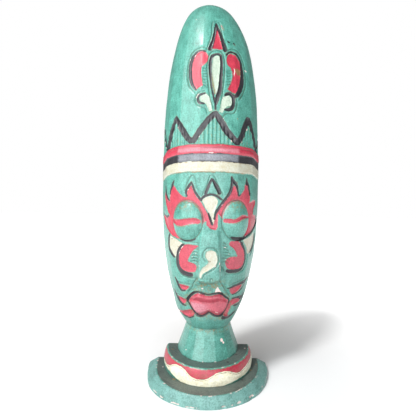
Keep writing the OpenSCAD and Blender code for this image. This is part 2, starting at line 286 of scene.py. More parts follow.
flameEdges = [
    ("black", [(-1.7, 219.2, 1.2), (1.1, 212, 2.2), (3.6, 205.8, 1.6)], "line"),
    ("black",
     [(28, 263, 1.5), (28.8, 256, 3), (27.8, 249, 3), (25, 243, 2.8), (20.5, 237, 2.6), (15.5, 231, 2.5),
               (11, 225, 2.4), (7.5, 219, 2.2), (6, 213, 1.5)], "line"),
    ("black", [(28.5, 262, 1.5), (32.5, 257, 3.4), (35.8, 252.5, 2.4), (37.8, 246, 1.4), (39.5, 241.5, 1.4),
               (43, 243, 0.8)], "line"),
    ("black", [(53.8, 263.3, 1), (53.8, 257.5, 4.5)], "line"),
    ("black", [(55.5, 258, 2.4), (58.5, 250, 1.8), (60.8, 243, 1.2)], "line"),
    ("black",
     [(-24.4, 256.5, 1.4), (-27, 253, 2.4), (-30.6, 248.3, 2.5), (-31.9, 243.9, 2.4), (-30.5, 240, 1.2)],
     "line"),
    ("black",
     [(-24.4, 256.5, 1.4), (-21.3, 250, 1.9), (-19.2, 245, 1.8), (-16.2, 240.8, 1.8), (-12.5, 236.4, 2),
               (-10.8, 234.6, 1.4)], "line"),
    ("black", [(-52.5, 259, 1), (-55, 255, 3), (-58.3, 249, 1.6), (-60, 243, 1)], "line"),
    ("black", [(-73.8, 253.3, 2), (-71.3, 245, 3.5), (-66.3, 238.3, 2.6), (-61.3, 234.5, 1)], "line"),
    ("black", [(-87.5, 219.5, 0.8), (-76.3, 215.6, 2), (-68.8, 214.6, 2.2), (-64, 215.6, 1)], "line"),
    ("black", [(79, 218, 1), (84, 214.5, 4), (88, 211, 5), (84, 207.5, 4), (82, 205.5, 2), (76, 201.3, 1.8),
               (69, 197.4, 1.8), (61, 193.3, 1.8), (54, 190.6, 2), (47, 188.6, 3), (40, 188.4, 4.4),
               (34, 189, 3.4),
               (28.5, 190.6, 1)], "line"),
    ("black", [(-40, 187.4, 1), (-32, 185.6, 1.4), (-24, 186.2, 1.2), (-18, 188.4, 0.8)], "line"),
]

# Centre and half sizes of each closed eye, and the red slit between its lids
eyes = [(-31.3, 210.2, 22.2, 23.6), (37.6, 211.2, 20.8, 23.6)]
eyeSlits = [
    ("red",
     [(-53, 213.2, 1), (-47.5, 212), (-41, 211.4), (-32.5, 212.3), (-25, 213.3), (-17.5, 213.3), (-12, 211.6),
             (-11.7, 207.6), (-17.5, 207), (-25, 205.8), (-32.5, 204), (-40, 204.2), (-46, 206.3),
             (-51.3, 207.6)]),
    ("red",
     [(18.3, 212.6), (24.4, 213.1), (30, 212.6), (35.6, 214.8), (40.6, 217.6), (46.7, 217.6), (52.2, 216.4),
             (57.5, 216, 1), (57.5, 214.3, 1), (52, 214.2), (46.7, 213.7), (41, 212.6), (35.6, 209.8),
             (30, 208.1),
             (24.4, 208.1), (18.3, 209.2)]),
    ("tan", [(-50, 206, 0.5), (-40, 203.2, 0.9), (-30, 203.6, 0.9), (-18, 206, 0.6)], "line"),
    ("tan", [(22, 207.2, 0.5), (32, 207.4, 0.9), (41, 211.6, 0.9), (50, 213.2, 0.5)], "line"),
]

cheekOrnament = [
    # fangs
    ("cream", [(-60.8, 190, 1), (-55.6, 189), (-50, 187.5), (-45, 185.6), (-36.5, 182.2, 1), (-41.9, 176.9),
               (-44.4, 173.8), (-46.4, 170), (-48, 164.6, 1), (-50.8, 164.6, 1), (-53.8, 165.6), (-57, 168.2),
               (-59.6, 171.5), (-61.3, 176), (-62, 182)]),
    ("cream",
     [(48.1, 186.5, 1), (55, 188.1), (62.5, 190.3), (68.8, 193.1), (73, 195, 1), (75, 190), (73.6, 182),
               (70.6, 176.3), (67.5, 173.1), (63.8, 170.6), (59.4, 167.9, 1), (58.1, 170.6), (56.9, 174.4),
               (54.4, 178.8), (51.3, 182.5)]),
    ("tan", [(-46.5, 178.6, 0.6), (-43, 177, 1.5), (-40.6, 178.6, 0.6)], "line"),
    ("tan", [(-60, 187, 0.6), (-57, 186, 1.6), (-54, 187, 0.6)], "line"),
    ("black",
     [(-60.8, 192.6, 1.6), (-63.2, 188.8, 3.4), (-64.2, 183, 4), (-64, 177, 3.8), (-62.2, 172.6, 3.4),
               (-58.6, 168.4, 3), (-54.6, 165.4, 2.4), (-51, 163.8, 1.2)], "line"),
    ("black", [(79.3, 193, 2.6), (77.8, 188, 4.6), (76.2, 181, 4.4), (73, 176, 4.2), (69.5, 172.5, 3.6),
               (65.2, 170, 1.6)], "line"),
    ("tan", [(78, 189, 1.4), (77.5, 186.4, 1.4)], "line"),
    ("cut", [(81.3, 196, 1), (83.6, 188.8, 1.3), (82.6, 182, 1.3), (78.8, 176.2, 1.3), (73.8, 170.4, 1.2),
             (67, 165, 1)], "line"),
    # hooks
    ("red", [(-31.9, 181, 1), (-26.3, 181.3), (-20, 180.9), (-13.4, 180.4, 1), (-16.9, 177.5), (-20, 175),
             (-22.8, 171.9), (-25, 168.8), (-27.3, 164.4), (-28.6, 161.6), (-28.1, 160.1), (-26, 159.3),
             (-22.5, 159),
             (-18.8, 157.9), (-16.5, 155.6), (-16.3, 152.5), (-17.5, 149.4), (-20.6, 147.5), (-25, 146.9),
             (-30, 147.3), (-35, 148.5), (-38.8, 151), (-41.3, 154.4), (-42.5, 158.8), (-42.5, 163.8),
             (-41.9, 168.8),
             (-40, 173.8), (-36.9, 177.5), (-33.8, 180.3)]),
    ("red",
     [(26.3, 183.8), (28.1, 185.4), (33.1, 185.9), (38.8, 185.6), (42.5, 184), (45.6, 181.3), (48.8, 176.3),
             (51, 171.3), (52.3, 166.3), (52.5, 161.3), (51.3, 156.9), (48.8, 153.8), (45, 151.3),
             (40, 150.3),
             (33.8, 150.3), (27.5, 151), (23.8, 153.1), (21.9, 156.9), (21.6, 161.3), (23.8, 164.4),
             (28.1, 166),
             (33.8, 166.5), (37.6, 166), (38.8, 167.3), (37.8, 170), (35.6, 173.1), (32.5, 176.9),
             (28.8, 179.4),
             (26.5, 181.5)]),
    ("black", [(-34, 181.4, 1), (-37.8, 179.5, 2.5), (-41.4, 175.3, 3.4), (-44.2, 171, 4), (-45.3, 166, 4.4),
               (-45.3, 160, 4.8), (-44.6, 155, 5), (-42.3, 150.3, 5.2), (-38.6, 147, 5), (-33.6, 144.8, 5),
               (-28, 143.8, 4.6), (-23.4, 143.8, 4.2)], "line"),
    ("black", [(43.1, 185, 1), (46.3, 182.5, 2.8), (49.6, 177.5, 2.4), (52.6, 171.9, 2), (53.8, 166.3, 1.9),
               (53.9, 161.3, 1.7), (52.5, 156.3, 1.7), (49.4, 151.9, 2), (45, 149.3, 2.6), (40, 148.4, 3.4),
               (33.8, 148.3, 3.8), (27.5, 148.7, 3.8), (24, 149.2, 3.4)], "line"),
    ("cut", [(-49.2, 161, 1.2), (-48.6, 154, 1.6), (-46, 149, 1.7), (-42, 144.6, 1.7), (-36.5, 141.4, 1.7),
             (-31, 140, 1.7), (-25, 139.6, 1.7), (-17, 139.8, 1.2)], "line"),
    ("cut", [(57.6, 173, 1), (58.8, 165.5, 1.4), (58.4, 158, 1.4), (55.8, 151.6, 1.4), (49.6, 147, 1.4),
             (41, 145, 1.4), (30, 145, 1.2), (22, 145.4, 1)], "line"),
    ("cut", [(-38, 184.4, 0.9), (-26, 184, 1.3), (-14, 183.6, 0.9)], "line"),
    # creases beside the nose
    ("cut", [(-15, 140, 1), (-20, 134.5, 1.8), (-23, 128, 1.5), (-29, 121, 1)], "line"),
    ("cut", [(13, 139, 1), (16.3, 133.8, 1.8), (21.3, 127.5, 1.8), (25.5, 121.5, 1.4), (31, 115, 1)], "line"),
    # three cheek cuts on each side
    ("wedge",
     [(-44.4, 128.8, 1), (-41.3, 129.4), (-35, 129.1), (-26.9, 128.5, 1), (-28.1, 125.6), (-31.3, 123.1),
               (-35.6, 122.3), (-40, 123.5), (-42.5, 126.3)]),
    ("wedge", [(-51.3, 110.6, 1), (-47.5, 111.5), (-41.9, 111), (-35, 110), (-31.9, 108.8, 1), (-33.1, 106.3),
               (-33.8, 103.8, 1), (-36.9, 102.3), (-41.3, 104), (-46.3, 106.9)]),
    ("wedge",
     [(-66.3, 81.3, 1), (-60, 84.8), (-52.5, 87.9), (-46.3, 89.4), (-41.3, 90.8), (-35, 92.8), (-28.8, 94.8),
               (-25, 95.3, 1), (-20, 91.3, 1), (-20.6, 88.1), (-25, 85.3), (-31.3, 83.8), (-37.5, 84.4),
               (-42.5, 86.2), (-50, 85.6), (-58, 82)]),
    ("wedge", [(28.1, 125.6, 1), (33.8, 126.9), (41.3, 127.8), (47.5, 128.1), (52.5, 128.2, 1), (48.8, 124.4),
               (42.5, 120), (37.5, 118.1), (33.1, 117.5, 1), (30.6, 120.6)]),
    ("wedge",
     [(33.8, 108.8), (36.9, 109.8), (42.5, 109.8), (48.8, 109.4), (55, 108.1, 1), (51.3, 104.4), (45, 102.8),
               (38.8, 101.9), (35, 100.6), (33.1, 96.9), (30.6, 93), (28.6, 90), (30, 86.9), (35, 85.6, 1),
               (24, 86.6), (20.6, 89, 1), (23.8, 93.1), (27.5, 97.5), (30, 102.4)]),
    ("black", [(-52, 136.5, 0.8), (-49.2, 133.2, 2.2), (-46.4, 129, 3.6), (-44, 125, 3), (-41, 122, 2.4),
               (-37.5, 121, 2), (-33.5, 121.8, 1)], "line"),
    ("black",
     [(-58.4, 118.4, 1), (-54.6, 113.4, 4), (-50.4, 109.4, 3.6), (-46.4, 105.6, 2.6), (-42, 102.3, 2.4),
               (-37, 100.5, 2.2), (-34, 100.6, 1)], "line"),
    ("black", [(-43.5, 85.8, 0.8), (-38, 83.6, 1.3), (-31, 83, 1.4), (-24, 84.6, 1.3), (-20, 87.4, 0.8)],
     "line"),
    ("black", [(26.6, 126, 1.2), (33.8, 128.1, 1.6), (42.5, 129.4, 2.2), (50, 130.6, 3), (55, 131.3, 3.6),
               (60.6, 132.6, 2.8), (68, 135.2, 0.8)], "line"),
    ("black", [(34.4, 116.9, 0.6), (42.5, 118.1, 1), (50, 121.9, 1), (56.3, 126.3, 1), (60, 130, 0.8)],
     "line"),
    ("black",
     [(35.6, 111, 1), (42, 111.2, 1.6), (48, 110.8, 2.6), (53, 109, 5), (57, 108.6, 5.4), (61, 111, 3.4),
               (65, 112.6, 1)], "line"),
    ("black", [(62.5, 110, 0.8), (59, 105.2, 1.4), (56.3, 102.6, 2), (51.3, 100.4, 2.2), (45, 99.6, 2.2),
               (39, 99.8, 1.6)], "line"),
    ("black", [(19.6, 85.2, 4), (23.8, 84.4, 2.8), (30, 84.3, 2.4), (35, 85.4, 2.6), (40, 88.1, 2.2),
               (46.3, 90.6, 0.8)], "line"),
    ("cut", [(-48, 131.8, 0.6), (-41, 131.3, 1.1), (-31, 131, 1.1), (-24, 130.4, 0.6)], "line"),
    ("cut", [(28, 130.4, 0.6), (38, 132.6, 1.1), (48, 134.4, 1.1), (56, 136.6, 0.6)], "line"),
    ("cut", [(-53, 113.6, 0.6), (-45, 113.4, 1), (-36, 112.4, 0.8)], "line"),
    # old nicks and specks in the paint
    ("tan", [(44.5, 318.6, 2), (44.5, 317.4, 2)], "line"),
    ("tan", [(35.5, 335.6, 1.5), (36, 334.4, 1.5)], "line"),
    ("tan", [(36, 257.6, 1.3), (36.2, 256.4, 1.3)], "line"),
    ("red", [(12.6, 455.6, 1), (16.2, 449.6, 1.6)], "line"),
    ("black", [(21.8, 432.8, 1.8), (23.4, 432, 1.8)], "line"),
    ("black", [(29.6, 431.8, 1.6), (31.6, 431, 1.6)], "line"),
    ("chip", [(-21, 467, 1.4), (-20, 466, 1.2)], "line"),
    ("chip", [(50.8, 402.2, 1.5), (52.4, 400.6, 1.1)], "line"),
    ("tan", [(-37, 465.4, 1.4), (-36, 463.4, 1)], "line"),
    ("chip", [(8.5, 120.9, 1), (10, 125), (12.4, 128.6, 1), (14.8, 125), (17.5, 121.4, 1), (13, 122)]),
    ("chip", [(12.4, 160, 0.6), (12.7, 155, 1.6), (12.3, 150.6, 0.7)], "line"),
    ("chip", [(-9.4, 126.6, 1.4), (-8, 126.4, 1.4)], "line"),
]

# The comma lies on the front plane of the nose
noseOrnament = [
    ("cream",
     [(3.1, 175.6), (-1.3, 175), (-3.6, 171.9), (-3.3, 167.5), (-1.3, 164.4), (0.3, 162.8, 1), (-1.3, 160),
               (-4.4, 156.9), (-7.5, 153.8), (-9.4, 150), (-10.1, 146.9), (-9.7, 144.4), (-8.5, 143.1, 1),
               (-7.5, 146.3), (-5, 149.4), (-1.3, 151.9), (3.1, 154.8), (6.9, 158.1), (8.8, 162.5),
               (9.1, 166.9),
               (8.2, 171.3), (6.3, 174.4)]),
    ("cut",
     [(-3, 161.6, 0.8), (-5.8, 165.4, 1.3), (-7, 170, 1.4), (-5.7, 174.6, 1.4), (-2, 178, 1.4),
      (3.8, 178.7, 1.4),
             (8.1, 176.7, 1.4), (10.4, 172.5, 1.2), (10.9, 167, 1.1), (10.4, 161.3, 1.1), (8.1, 156.3, 1.1),
             (3.8, 152.4, 1.1), (-1.3, 149.2, 1.1), (-5, 146.2, 1.1), (-7, 141.5, 0.8)], "line"),
    ("tan", [(-0.6, 163.8, 1), (0.8, 162.6, 1.4), (1.8, 163.6, 0.8)], "line"),
    ("cut", [(1.4, 138.6, 0.7), (1.8, 141.4, 1), (3.4, 142.6, 1.1), (4.2, 140.4, 0.8)], "line"),
]
lips = [(-28.6, 110, 1), (-25, 113.8), (-21.3, 116.9), (-16.9, 119.3), (-11.9, 119.8), (-7.5, 118.7),
        (-2.5, 117.3),
        (2.5, 117.3), (7.5, 118.1), (12.5, 118.9), (17.5, 118.1), (21.3, 115), (25, 111.9), (28.9, 109.6, 1),
        (27.6, 101.6), (24, 96.6), (20.6, 92.6), (16.8, 90.6), (12.6, 90.2), (8.4, 91.2), (4.6, 93.4),
        (0.4, 95, 1),
        (-3.4, 92.8), (-7.4, 91), (-12, 90.6), (-16.4, 91.6), (-19.6, 94.4), (-23, 98), (-25.6, 101.6),
        (-27.8, 105.6)]
lipLines = [
    ("black",
     [(-31.6, 106.6, 1.6), (-30.6, 109.8, 3), (-28, 113.6, 3), (-24.4, 117.6, 2.8), (-20.6, 120.4, 2.2),
               (-16.4, 121.4, 1.7), (-11.9, 121, 1.4), (-7.5, 120, 1.3), (-3.4, 118.9, 1.2),
               (0.6, 118.5, 1.2),
               (5, 119.3, 1.3), (9, 120, 1.5), (13.1, 120.4, 1.8), (17.7, 119.5, 2), (21.3, 117, 2),
               (25, 113.8, 1.8),
               (28.5, 111.6, 1.6), (30.4, 108.8, 1.6), (30.5, 105.4, 1.7), (28.9, 101, 2), (25.5, 96, 2.1),
               (22.4, 92.2, 2.1), (18.4, 89.6, 2.2), (13.6, 88.8, 2.1), (8.8, 89.6, 2), (4.8, 91.8, 1.8),
               (1, 93.7, 1.5), (-3.6, 91.2, 1.8), (-7.5, 89.5, 2.1), (-12, 89, 2.2), (-17, 90, 2.3),
               (-20.7, 92.8, 2.3), (-24.4, 96.7, 2.1), (-27, 100.6, 1.9), (-29.3, 104.6, 1.8)], "line"),
    ("black", [(-20, 93.4, 1), (-18.6, 96.2, 0.5)], "line"),
    ("black", [(-17.6, 91.6, 1.1), (-16.2, 95, 0.5)], "line"),
    ("black", [(-14.8, 90.4, 1), (-14, 93.4, 0.5)], "line"),
]
mouthLine = [(-32, 108.8), (-22.5, 109), (-16.3, 109), (-8.8, 108.1), (-1.3, 107.3), (7.5, 107.5),
             (15, 108.6),
             (22.5, 109.6), (32, 109.6)]


def addOrnament(fields, spots, ornament):
    for paint, points, *kind in ornament:
        away = distanceTo(spots, points, closed=not kind)
        fields[paint] = np.minimum(fields[paint], away)


roundOver = 1.2  # softened edge between a carved front and its flat back, in mm


def halfRoundRing(angle, halfWidth, depth, out, up, backColumns):
    # One closed section: the front pushed out by the carving, two softened corners and the flat back
    reachX, reachY = depth * np.sin(angle), halfWidth * np.cos(angle)
    length = np.hypot(reachX, reachY)
    x = halfWidth * np.sin(angle) + out * reachX / length
    y = backY - roundOver - (depth - roundOver) * np.cos(angle) - out * reachY / length
    turn = np.radians([22.5, 45, 67.5])
    right, left = x[-1] - roundOver, x[0] + roundOver
    cornerX = right + roundOver * np.cos(turn)
    cornerY = backY - roundOver + roundOver * np.sin(turn)
    backX = np.linspace(right, left, backColumns)
    x = np.concatenate([x, cornerX, backX, left - roundOver * np.cos(turn[::-1])])
    y = np.concatenate([y, cornerY, np.full(backColumns, backY), cornerY[::-1]])
    return np.stack([x, y, np.full(x.shape, up)], axis=-1)


def meshFrom(name, rings, fields, brush):
    # A closed mesh through rows of rings, with the paint fields as attributes of its points
    rows, columns = rings.shape[:2]
    ends = np.array([rings[0].mean(axis=0), rings[-1].mean(axis=0)])
    points = np.concatenate([rings.reshape(-1, 3), ends]) * mm
    row, column = np.meshgrid(np.arange(rows - 1), np.arange(columns), indexing="ij")
    first = row * columns + column
    second = row * columns + (column + 1) % columns
    quads = np.stack([first, second, second + columns, first + columns], axis=-1).reshape(-1, 4)
    around = np.arange(columns)
    nextAround = (around + 1) % columns
    bottom = np.stack([nextAround, around, np.full(columns, rows * columns)], axis=-1)
    top = np.stack([around, nextAround, np.full(columns, rows * columns + 1)], axis=-1)
    top[:, :2] += (rows - 1) * columns
    mesh = bpy.data.meshes.new(name)
    mesh.from_pydata(points.tolist(), [], quads.tolist() + bottom.tolist() + top.tolist())
    mesh.shade_smooth()
    for field, values in fields.items():
        closed = np.append(values.ravel(), [values[0].mean(), values[-1].mean()])
        attribute = mesh.attributes.new(field, "FLOAT", "POINT")
        attribute.data.foreach_set("value", closed.astype(np.float32))
    strokes = np.concatenate([brush.reshape(-1, 3), brush[0].mean(axis=0)[None],
                              brush[-1].mean(axis=0)[None]])
    attribute = mesh.attributes.new("brush", "FLOAT_VECTOR", "POINT")
    attribute.data.foreach_set("vector", strokes.astype(np.float32).ravel())
    mesh.update()
    piece = bpy.data.objects.new(name, mesh)
    bpy.context.scene.collection.objects.link(piece)
    return piece


def bulge(height, step=2):
    # How far each point stands proud of its neighbours: worn edges are positive, hollows negative
    across = (np.roll(height, step, axis=1) + np.roll(height, -step, axis=1)) / 2
    padded = np.pad(height, ((step, step), (0, 0)), mode="edge")
    along = (padded[2 * step:] + padded[:-2 * step]) / 2
    return height - (across + along) / 2


paintNames = ("red", "cream", "pale", "black", "dark", "cut", "wedge", "tan", "chip")


def emptyFields(shape):
    fields = {name: np.full(shape, farAway) for name in paintNames}
    fields["stainAndShade"] = np.zeros(shape)
    fields["paintedSheen"] = np.zeros(shape)
    return fields


def facetRelief(turn, creases, sagPerDegree):
    # Broad flats left by the hewing: proud at the creases, sunk in between by their width
    relief = np.zeros(turn.shape)
    for left, right in zip(creases[:-1], creases[1:]):
        share = (turn - left) / (right - left)
        flat = 0.5 - sagPerDegree * (right - left) * (1 - (2 * share - 1) ** 2)
        relief = np.where((share >= 0) & (share < 1), flat, relief)
    return relief


head = {
    "halfWidth": 67,  # at the widest, without the headband
    "depth": 74,
    "waistHalfWidth": 31,  # where the chin meets the neck
    "waistDepth": 36,
    "widestRise": 194.5,  # from the chin joint
    "crownPower": 2.7,  # higher is a blunter tip
    "tipShift": -3.5,  # the tip leans to the left
    "creases": (-91, -75, -54, -35, -11, 30, 52, 75, 91),  # degrees round from the middle of the front
    "sagPerDegree": 0.042,
    "bandFoot": 269,
    "creamBand": 12.6,
    "blackBand": 8.9,
    "redRoll": 11.3,
    "bandProud": 1.2,
    "fluteSpacing": 5.2,  # gouge flutes under the zigzag
    "fluteDepth": 1.1,
    "frontColumns": 220,
    "backColumns": 30,
}
chinZ, topZ = boxInMm("mask_head")[0][2], boxInMm("mask_head")[1][2]
widestZ = chinZ + head["widestRise"]


def headSize(up, widest, waist):
    above = np.clip((up - widestZ) / (topZ - widestZ), 0, 1)
    below = np.clip((widestZ - up) / (widestZ - chinZ), 0, 1)
    crown = widest * (1 - above**2.5) ** (1 / head["crownPower"])
    jaw = waist + (widest - waist) * (1 - below**3) ** 0.9
    return np.where(up > widestZ, crown, jaw)


def bandRelief(across, up):
    # The headband dips at both ends, and its edges waver as hand-cut ones do
    level = up + 6 * ease(42, 95, -across) + 2.5 * ease(60, 92, across)
    level = level - 0.5 * unevenness(across, up * 0, 14, 5)
    creamTop = head["bandFoot"] + head["creamBand"]
    blackTop = creamTop + head["blackBand"]
    rollTop = blackTop + head["redRoll"]
    soft = 0.7
    cream = head["bandProud"] * ease(head["bandFoot"] - soft, head["bandFoot"] + soft, level) * (
        1 - ease(creamTop - soft, creamTop + soft, level)
    )
    black = 0.6 * ease(creamTop - soft, creamTop + soft, level) * (1
                                                                   - ease(blackTop - soft, blackTop
                                                                          + soft, level))
    middle = blackTop + head["redRoll"] * 0.38
    roll = (head["bandProud"] + 0.8) * dome(np.abs(level - middle) / (head["redRoll"] * 0.4))
    lip = 1.5 * dome(np.abs(level - rollTop + 1.8) / 1.9)
    edges = {
        "cream": np.maximum(head["bandFoot"] - level, level - creamTop),
        "black": np.maximum(creamTop - level, level - blackTop),
        "red": np.maximum(blackTop - level, level - rollTop),
        "cut": np.abs(level - rollTop + 3.6) - 0.4,
    }
    return (cream + black + np.maximum(roll, lip)) * (1 - 0.6 * ease(60, 95, np.abs(across))), edges


def noseRelief(across, up):
    # A flat front plane with steep sides, rising towards the tip, and a wing low on each side
    share = np.clip((up - 139) / 64, 0, 1)
    half = 11.4 - 2.2 * ease(0.6, 1, share)
    x = across - 0.3
    height = (12.5 - 9.5 * share**0.9) * (1 - ease(0.84, 1.08, share))
    front = 1 - 0.1 * (x / half) ** 2
    run = np.where(x > 0, 5.2, 4.2)
    sides = 1 - ease(half - 0.9, half + run, np.abs(x))
    foot = ease(-7, 0.5, up - 138.5 - 4 * (x / 15) ** 2)
    bridge = np.where(up < 212, height * front * sides * foot, 0)
    wings = 7 * dome(np.hypot((np.abs(x - 1) - 9.5) / 9, (up - 147) / 9.5))
    return np.maximum(bridge, wings * foot)


def carveHead(across, up):
    spots = across + 1j * up
    fields = emptyFields(across.shape)
    radius = (headSize(up, head["halfWidth"], head["waistHalfWidth"])
              + headSize(up, head["depth"], head["waistDepth"])) / 2
    turn = np.degrees(across / np.maximum(radius, 1))

    # red flames, then the eyes inside them, then everything painted later
    addOrnament(fields, spots, flames)
    eye = np.min([np.hypot((across - x) / halfX, (up - z) / halfZ) for x, z, halfX, halfZ in eyes], axis=0)
    eyeEdge = (eye - 1) * 22
    fields["red"] = np.maximum(fields["red"], -eyeEdge)
    slits = emptyFields(across.shape)
    addOrnament(slits, spots, eyeSlits)
    fields["red"] = np.minimum(fields["red"], slits["red"])
    fields["tan"] = slits["tan"]
    for ornament in (flameEdges, headdressOrnament, browOrnament, cheekOrnament, noseOrnament, lipLines):
        addOrnament(fields, spots, ornament)
    for stroke in zigzagStrokes:
        fields["black"] = np.minimum(fields["black"], distanceTo(spots, stroke, closed=False))
    lipEdge = distanceTo(spots, lips, closed=True)
    fields["cut"] = np.minimum(fields["cut"], np.abs(eyeEdge - 1) - 0.7)
    fields["red"] = np.minimum(np.minimum(fields["red"], fields["wedge"]), lipEdge)

    # the carved forms
    lid = 7.4 * dome(eye) - 1.9
    socket = -1.8 * (1 - ease(1, 1.2, eye))
    lids = np.where(eye < 1, lid, socket)
    lids -= 0.9 * ease(-0.4, 1.6, -slits["red"])
    muzzle = np.hypot((across - 1) / 37, (up - 107) / 30)
    hollow = -2.6 * (1 - ease(0.84, 1.0, muzzle)) * ease(80, 98, up)
    mouth = 6.6 * ease(-1.5, 5, -lipEdge)
    valley = np.interp(across, [p[0] for p in mouthLine], [p[1] for p in mouthLine])
    above = 1 - np.clip((up - valley) / 9, 0, 1)
    below = 1 - np.clip((valley - up) / 11, 0, 1)
    mouth -= np.where(up > valley, 5.8 * above, 4.2 * below) * ease(-0.5, 3, -lipEdge)
    lipRidge = 1.1 * (1 - ease(0, 2.4, np.abs(lipEdge - 4))) * ease(104, 118, up)
    chin = 3 * dome(np.hypot(across / 33, (up - 80) / 13))
    jaw = 2.6 * np.exp(-(((up - 89) / 15) ** 2)) * ease(35, 75, -turn)
    out = np.maximum(noseRelief(across, up), lids) + hollow + mouth + lipRidge + chin + jaw

    # cuts and flutes
    out -= 0.8 * ease(0, 1.4, -np.where(lipEdge < 1, farAway, fields["red"]))
    out -= 0.6 * ease(0, 1.4, -np.minimum(fields["cream"], fields["pale"]))
    out -= 0.9 * ease(-0.4, 1.2, -fields["black"])
    out -= 1.2 * ease(-0.9, 0.8, -fields["cut"])
    out -= 1.2 * ease(0, 4, -fields["wedge"])
    zigzagTop = np.interp(across, [p[0] for p in zigzagCorners], [p[1] for p in zigzagCorners])
    fluted = ease(300.5, 303, up) * (1
                                     - ease(-3.5, 0.5, up - zigzagTop + 3 * unevenness(across, up * 0, 4, 8)))
    phase = across - 1.5 + 0.9 * unevenness(across, up * 0, 17, 6)
    flute = (0.5 - 0.5 * np.cos(2 * math.pi * phase / head["fluteSpacing"])) ** 0.7
    out -= head["fluteDepth"] * flute * fluted
    ridges = fluted * (1 - ease(0.1, 0.35, flute))
    for low, high, left, right, lean in ((372, 396, -11, -6, 0), (374, 397, 21, 27, 0.3)):
        ribbed = ease(low, low + 1.5, up) * (1 - ease(high - 1.5, high, up))
        ribbed *= ease(left - 1, left + 1, across) * (1 - ease(right - 1, right + 1, across))
        wave = np.cos(2 * math.pi * (up - low - lean * (across - left)) / 3.55)
        out -= 1.2 * ribbed * (0.5 - 0.5 * wave)
        fields["cut"] = np.minimum(fields["cut"], np.where(ribbed > 0.4, 0.6 * wave + 0.2, farAway))
    for level in np.linspace(160.5, 175.5, 5):  # a fan of short gouge nicks on each cheek
        start = -24 + (level - 164.3) * 0.32
        nick = distanceTo(spots,
                          [(start, level, 1), ((start - 14) / 2, level + 0.7, 1.3), (-14.4, level, 1)], False)
        fields["cut"] = np.minimum(fields["cut"], nick)
        out -= 1.6 * ease(-0.5, 0.6, -nick)
    for level in np.linspace(161, 183.6, 7):
        end = 31 - abs(level - 169) * 0.6
        nick = distanceTo(spots,
                          [(18.4, level + 0.8, 1), ((19.4 + end) / 2, level, 1.3), (end, level - 2, 1)],
                          False)
        fields["cut"] = np.minimum(fields["cut"], nick)
        out -= 1.6 * ease(-0.5, 0.6, -nick)

    # the band covers what lies under it
    band, edges = bandRelief(across, up)
    onBand = np.minimum(np.minimum(edges["cream"], edges["black"]), edges["red"]) < 0.7
    out = np.where(onBand, 0, out) + band
    for paint in ("red", "cream", "black", "cut"):
        fields[paint] = np.minimum(np.where(onBand, farAway, fields[paint]), edges[paint])
    addOrnament(fields, spots, bandOrnament)
    # painted sheen over the headband's front: a painted highlight on the black band and the red roll,
    # strongest in the middle
    sheenSpan = ease(-46, -42, across) * (1 - ease(35, 39, across)) * (0.75 + 0.25
                                                                     * np.exp(-((across / 18) ** 2)))
    fields["paintedSheen"] = sheenSpan * np.maximum(ease(280, 284, up) * (1 - ease(289, 291, up)),
                                           0.8 * ease(291.5, 293.5, up) * (1 - ease(296, 298.5, up)))

    # painted sheen below the band and on the lower lip, a painted highlight that is strongest on the lip's
    # left
    fields["paintedSheen"] = np.maximum(fields["paintedSheen"], 0.2 * np.exp(-(((across - 8) / 45) ** 2)) * (up < 268)
                                 * (fields["black"] > 0.8))
    fields["paintedSheen"] = np.maximum(fields["paintedSheen"],
                                 (0.8 - 0.5 * ease(-12, 6, across)) * ease(1, 4, -lipEdge)
                                 * ease(0, 3, valley - up))

    # grime and rubbed varnish settle on the lids' tops, beside the nose's left foot and on the flute ridges;
    # grime and painted shade darken under the nose and round the mouth
    fields["stainAndShade"] = np.maximum.reduce([
        (eye < 1.05) * ease(218, 229, up),
        2.2 * np.exp(-(((across - 2) / 16) ** 2) - ((up - 131) / 7) ** 2),
        0.8 * (1 - ease(2.5, 7, np.abs(lipEdge - 3))) * (lipEdge > 0),
        np.exp(-(((across + 15) / 5) ** 2) - ((up - 139) / 5) ** 2),
        0.9 * ridges,
    ])

    out -= 1.3 * ease(45, 80, -turn) + 0.9 * ease(60, 85, turn) * (1 - ease(150, 170, up))
    flats = facetRelief(turn, head["creases"], head["sagPerDegree"])
    out += flats * (0.55 + 0.45 * ease(258, 275, up)) * (1 - 0.5 * ease(380, 430, up)) * (1
                                                                                          - ease(440,
                                                                                                 495, up))
    out += 0.35 * unevenness(across, up, 34, 11) + 0.16 * unevenness(across, up, 11, 12)
    out += 0.05 * unevenness(across, up * 0.3, 3, 13)
    return out, fields, onBand


def backDistance(rings):
    # How far a point of the flat back lies inside its edge; the front is far below zero
    widest = np.abs(rings[..., 0]).max(axis=1, keepdims=True)
    inside = widest - np.abs(rings[..., 0])
    return np.where(rings[..., 1] > backY - 0.01, inside, -farAway + 90 * (rings[..., 1] > backY - 1))


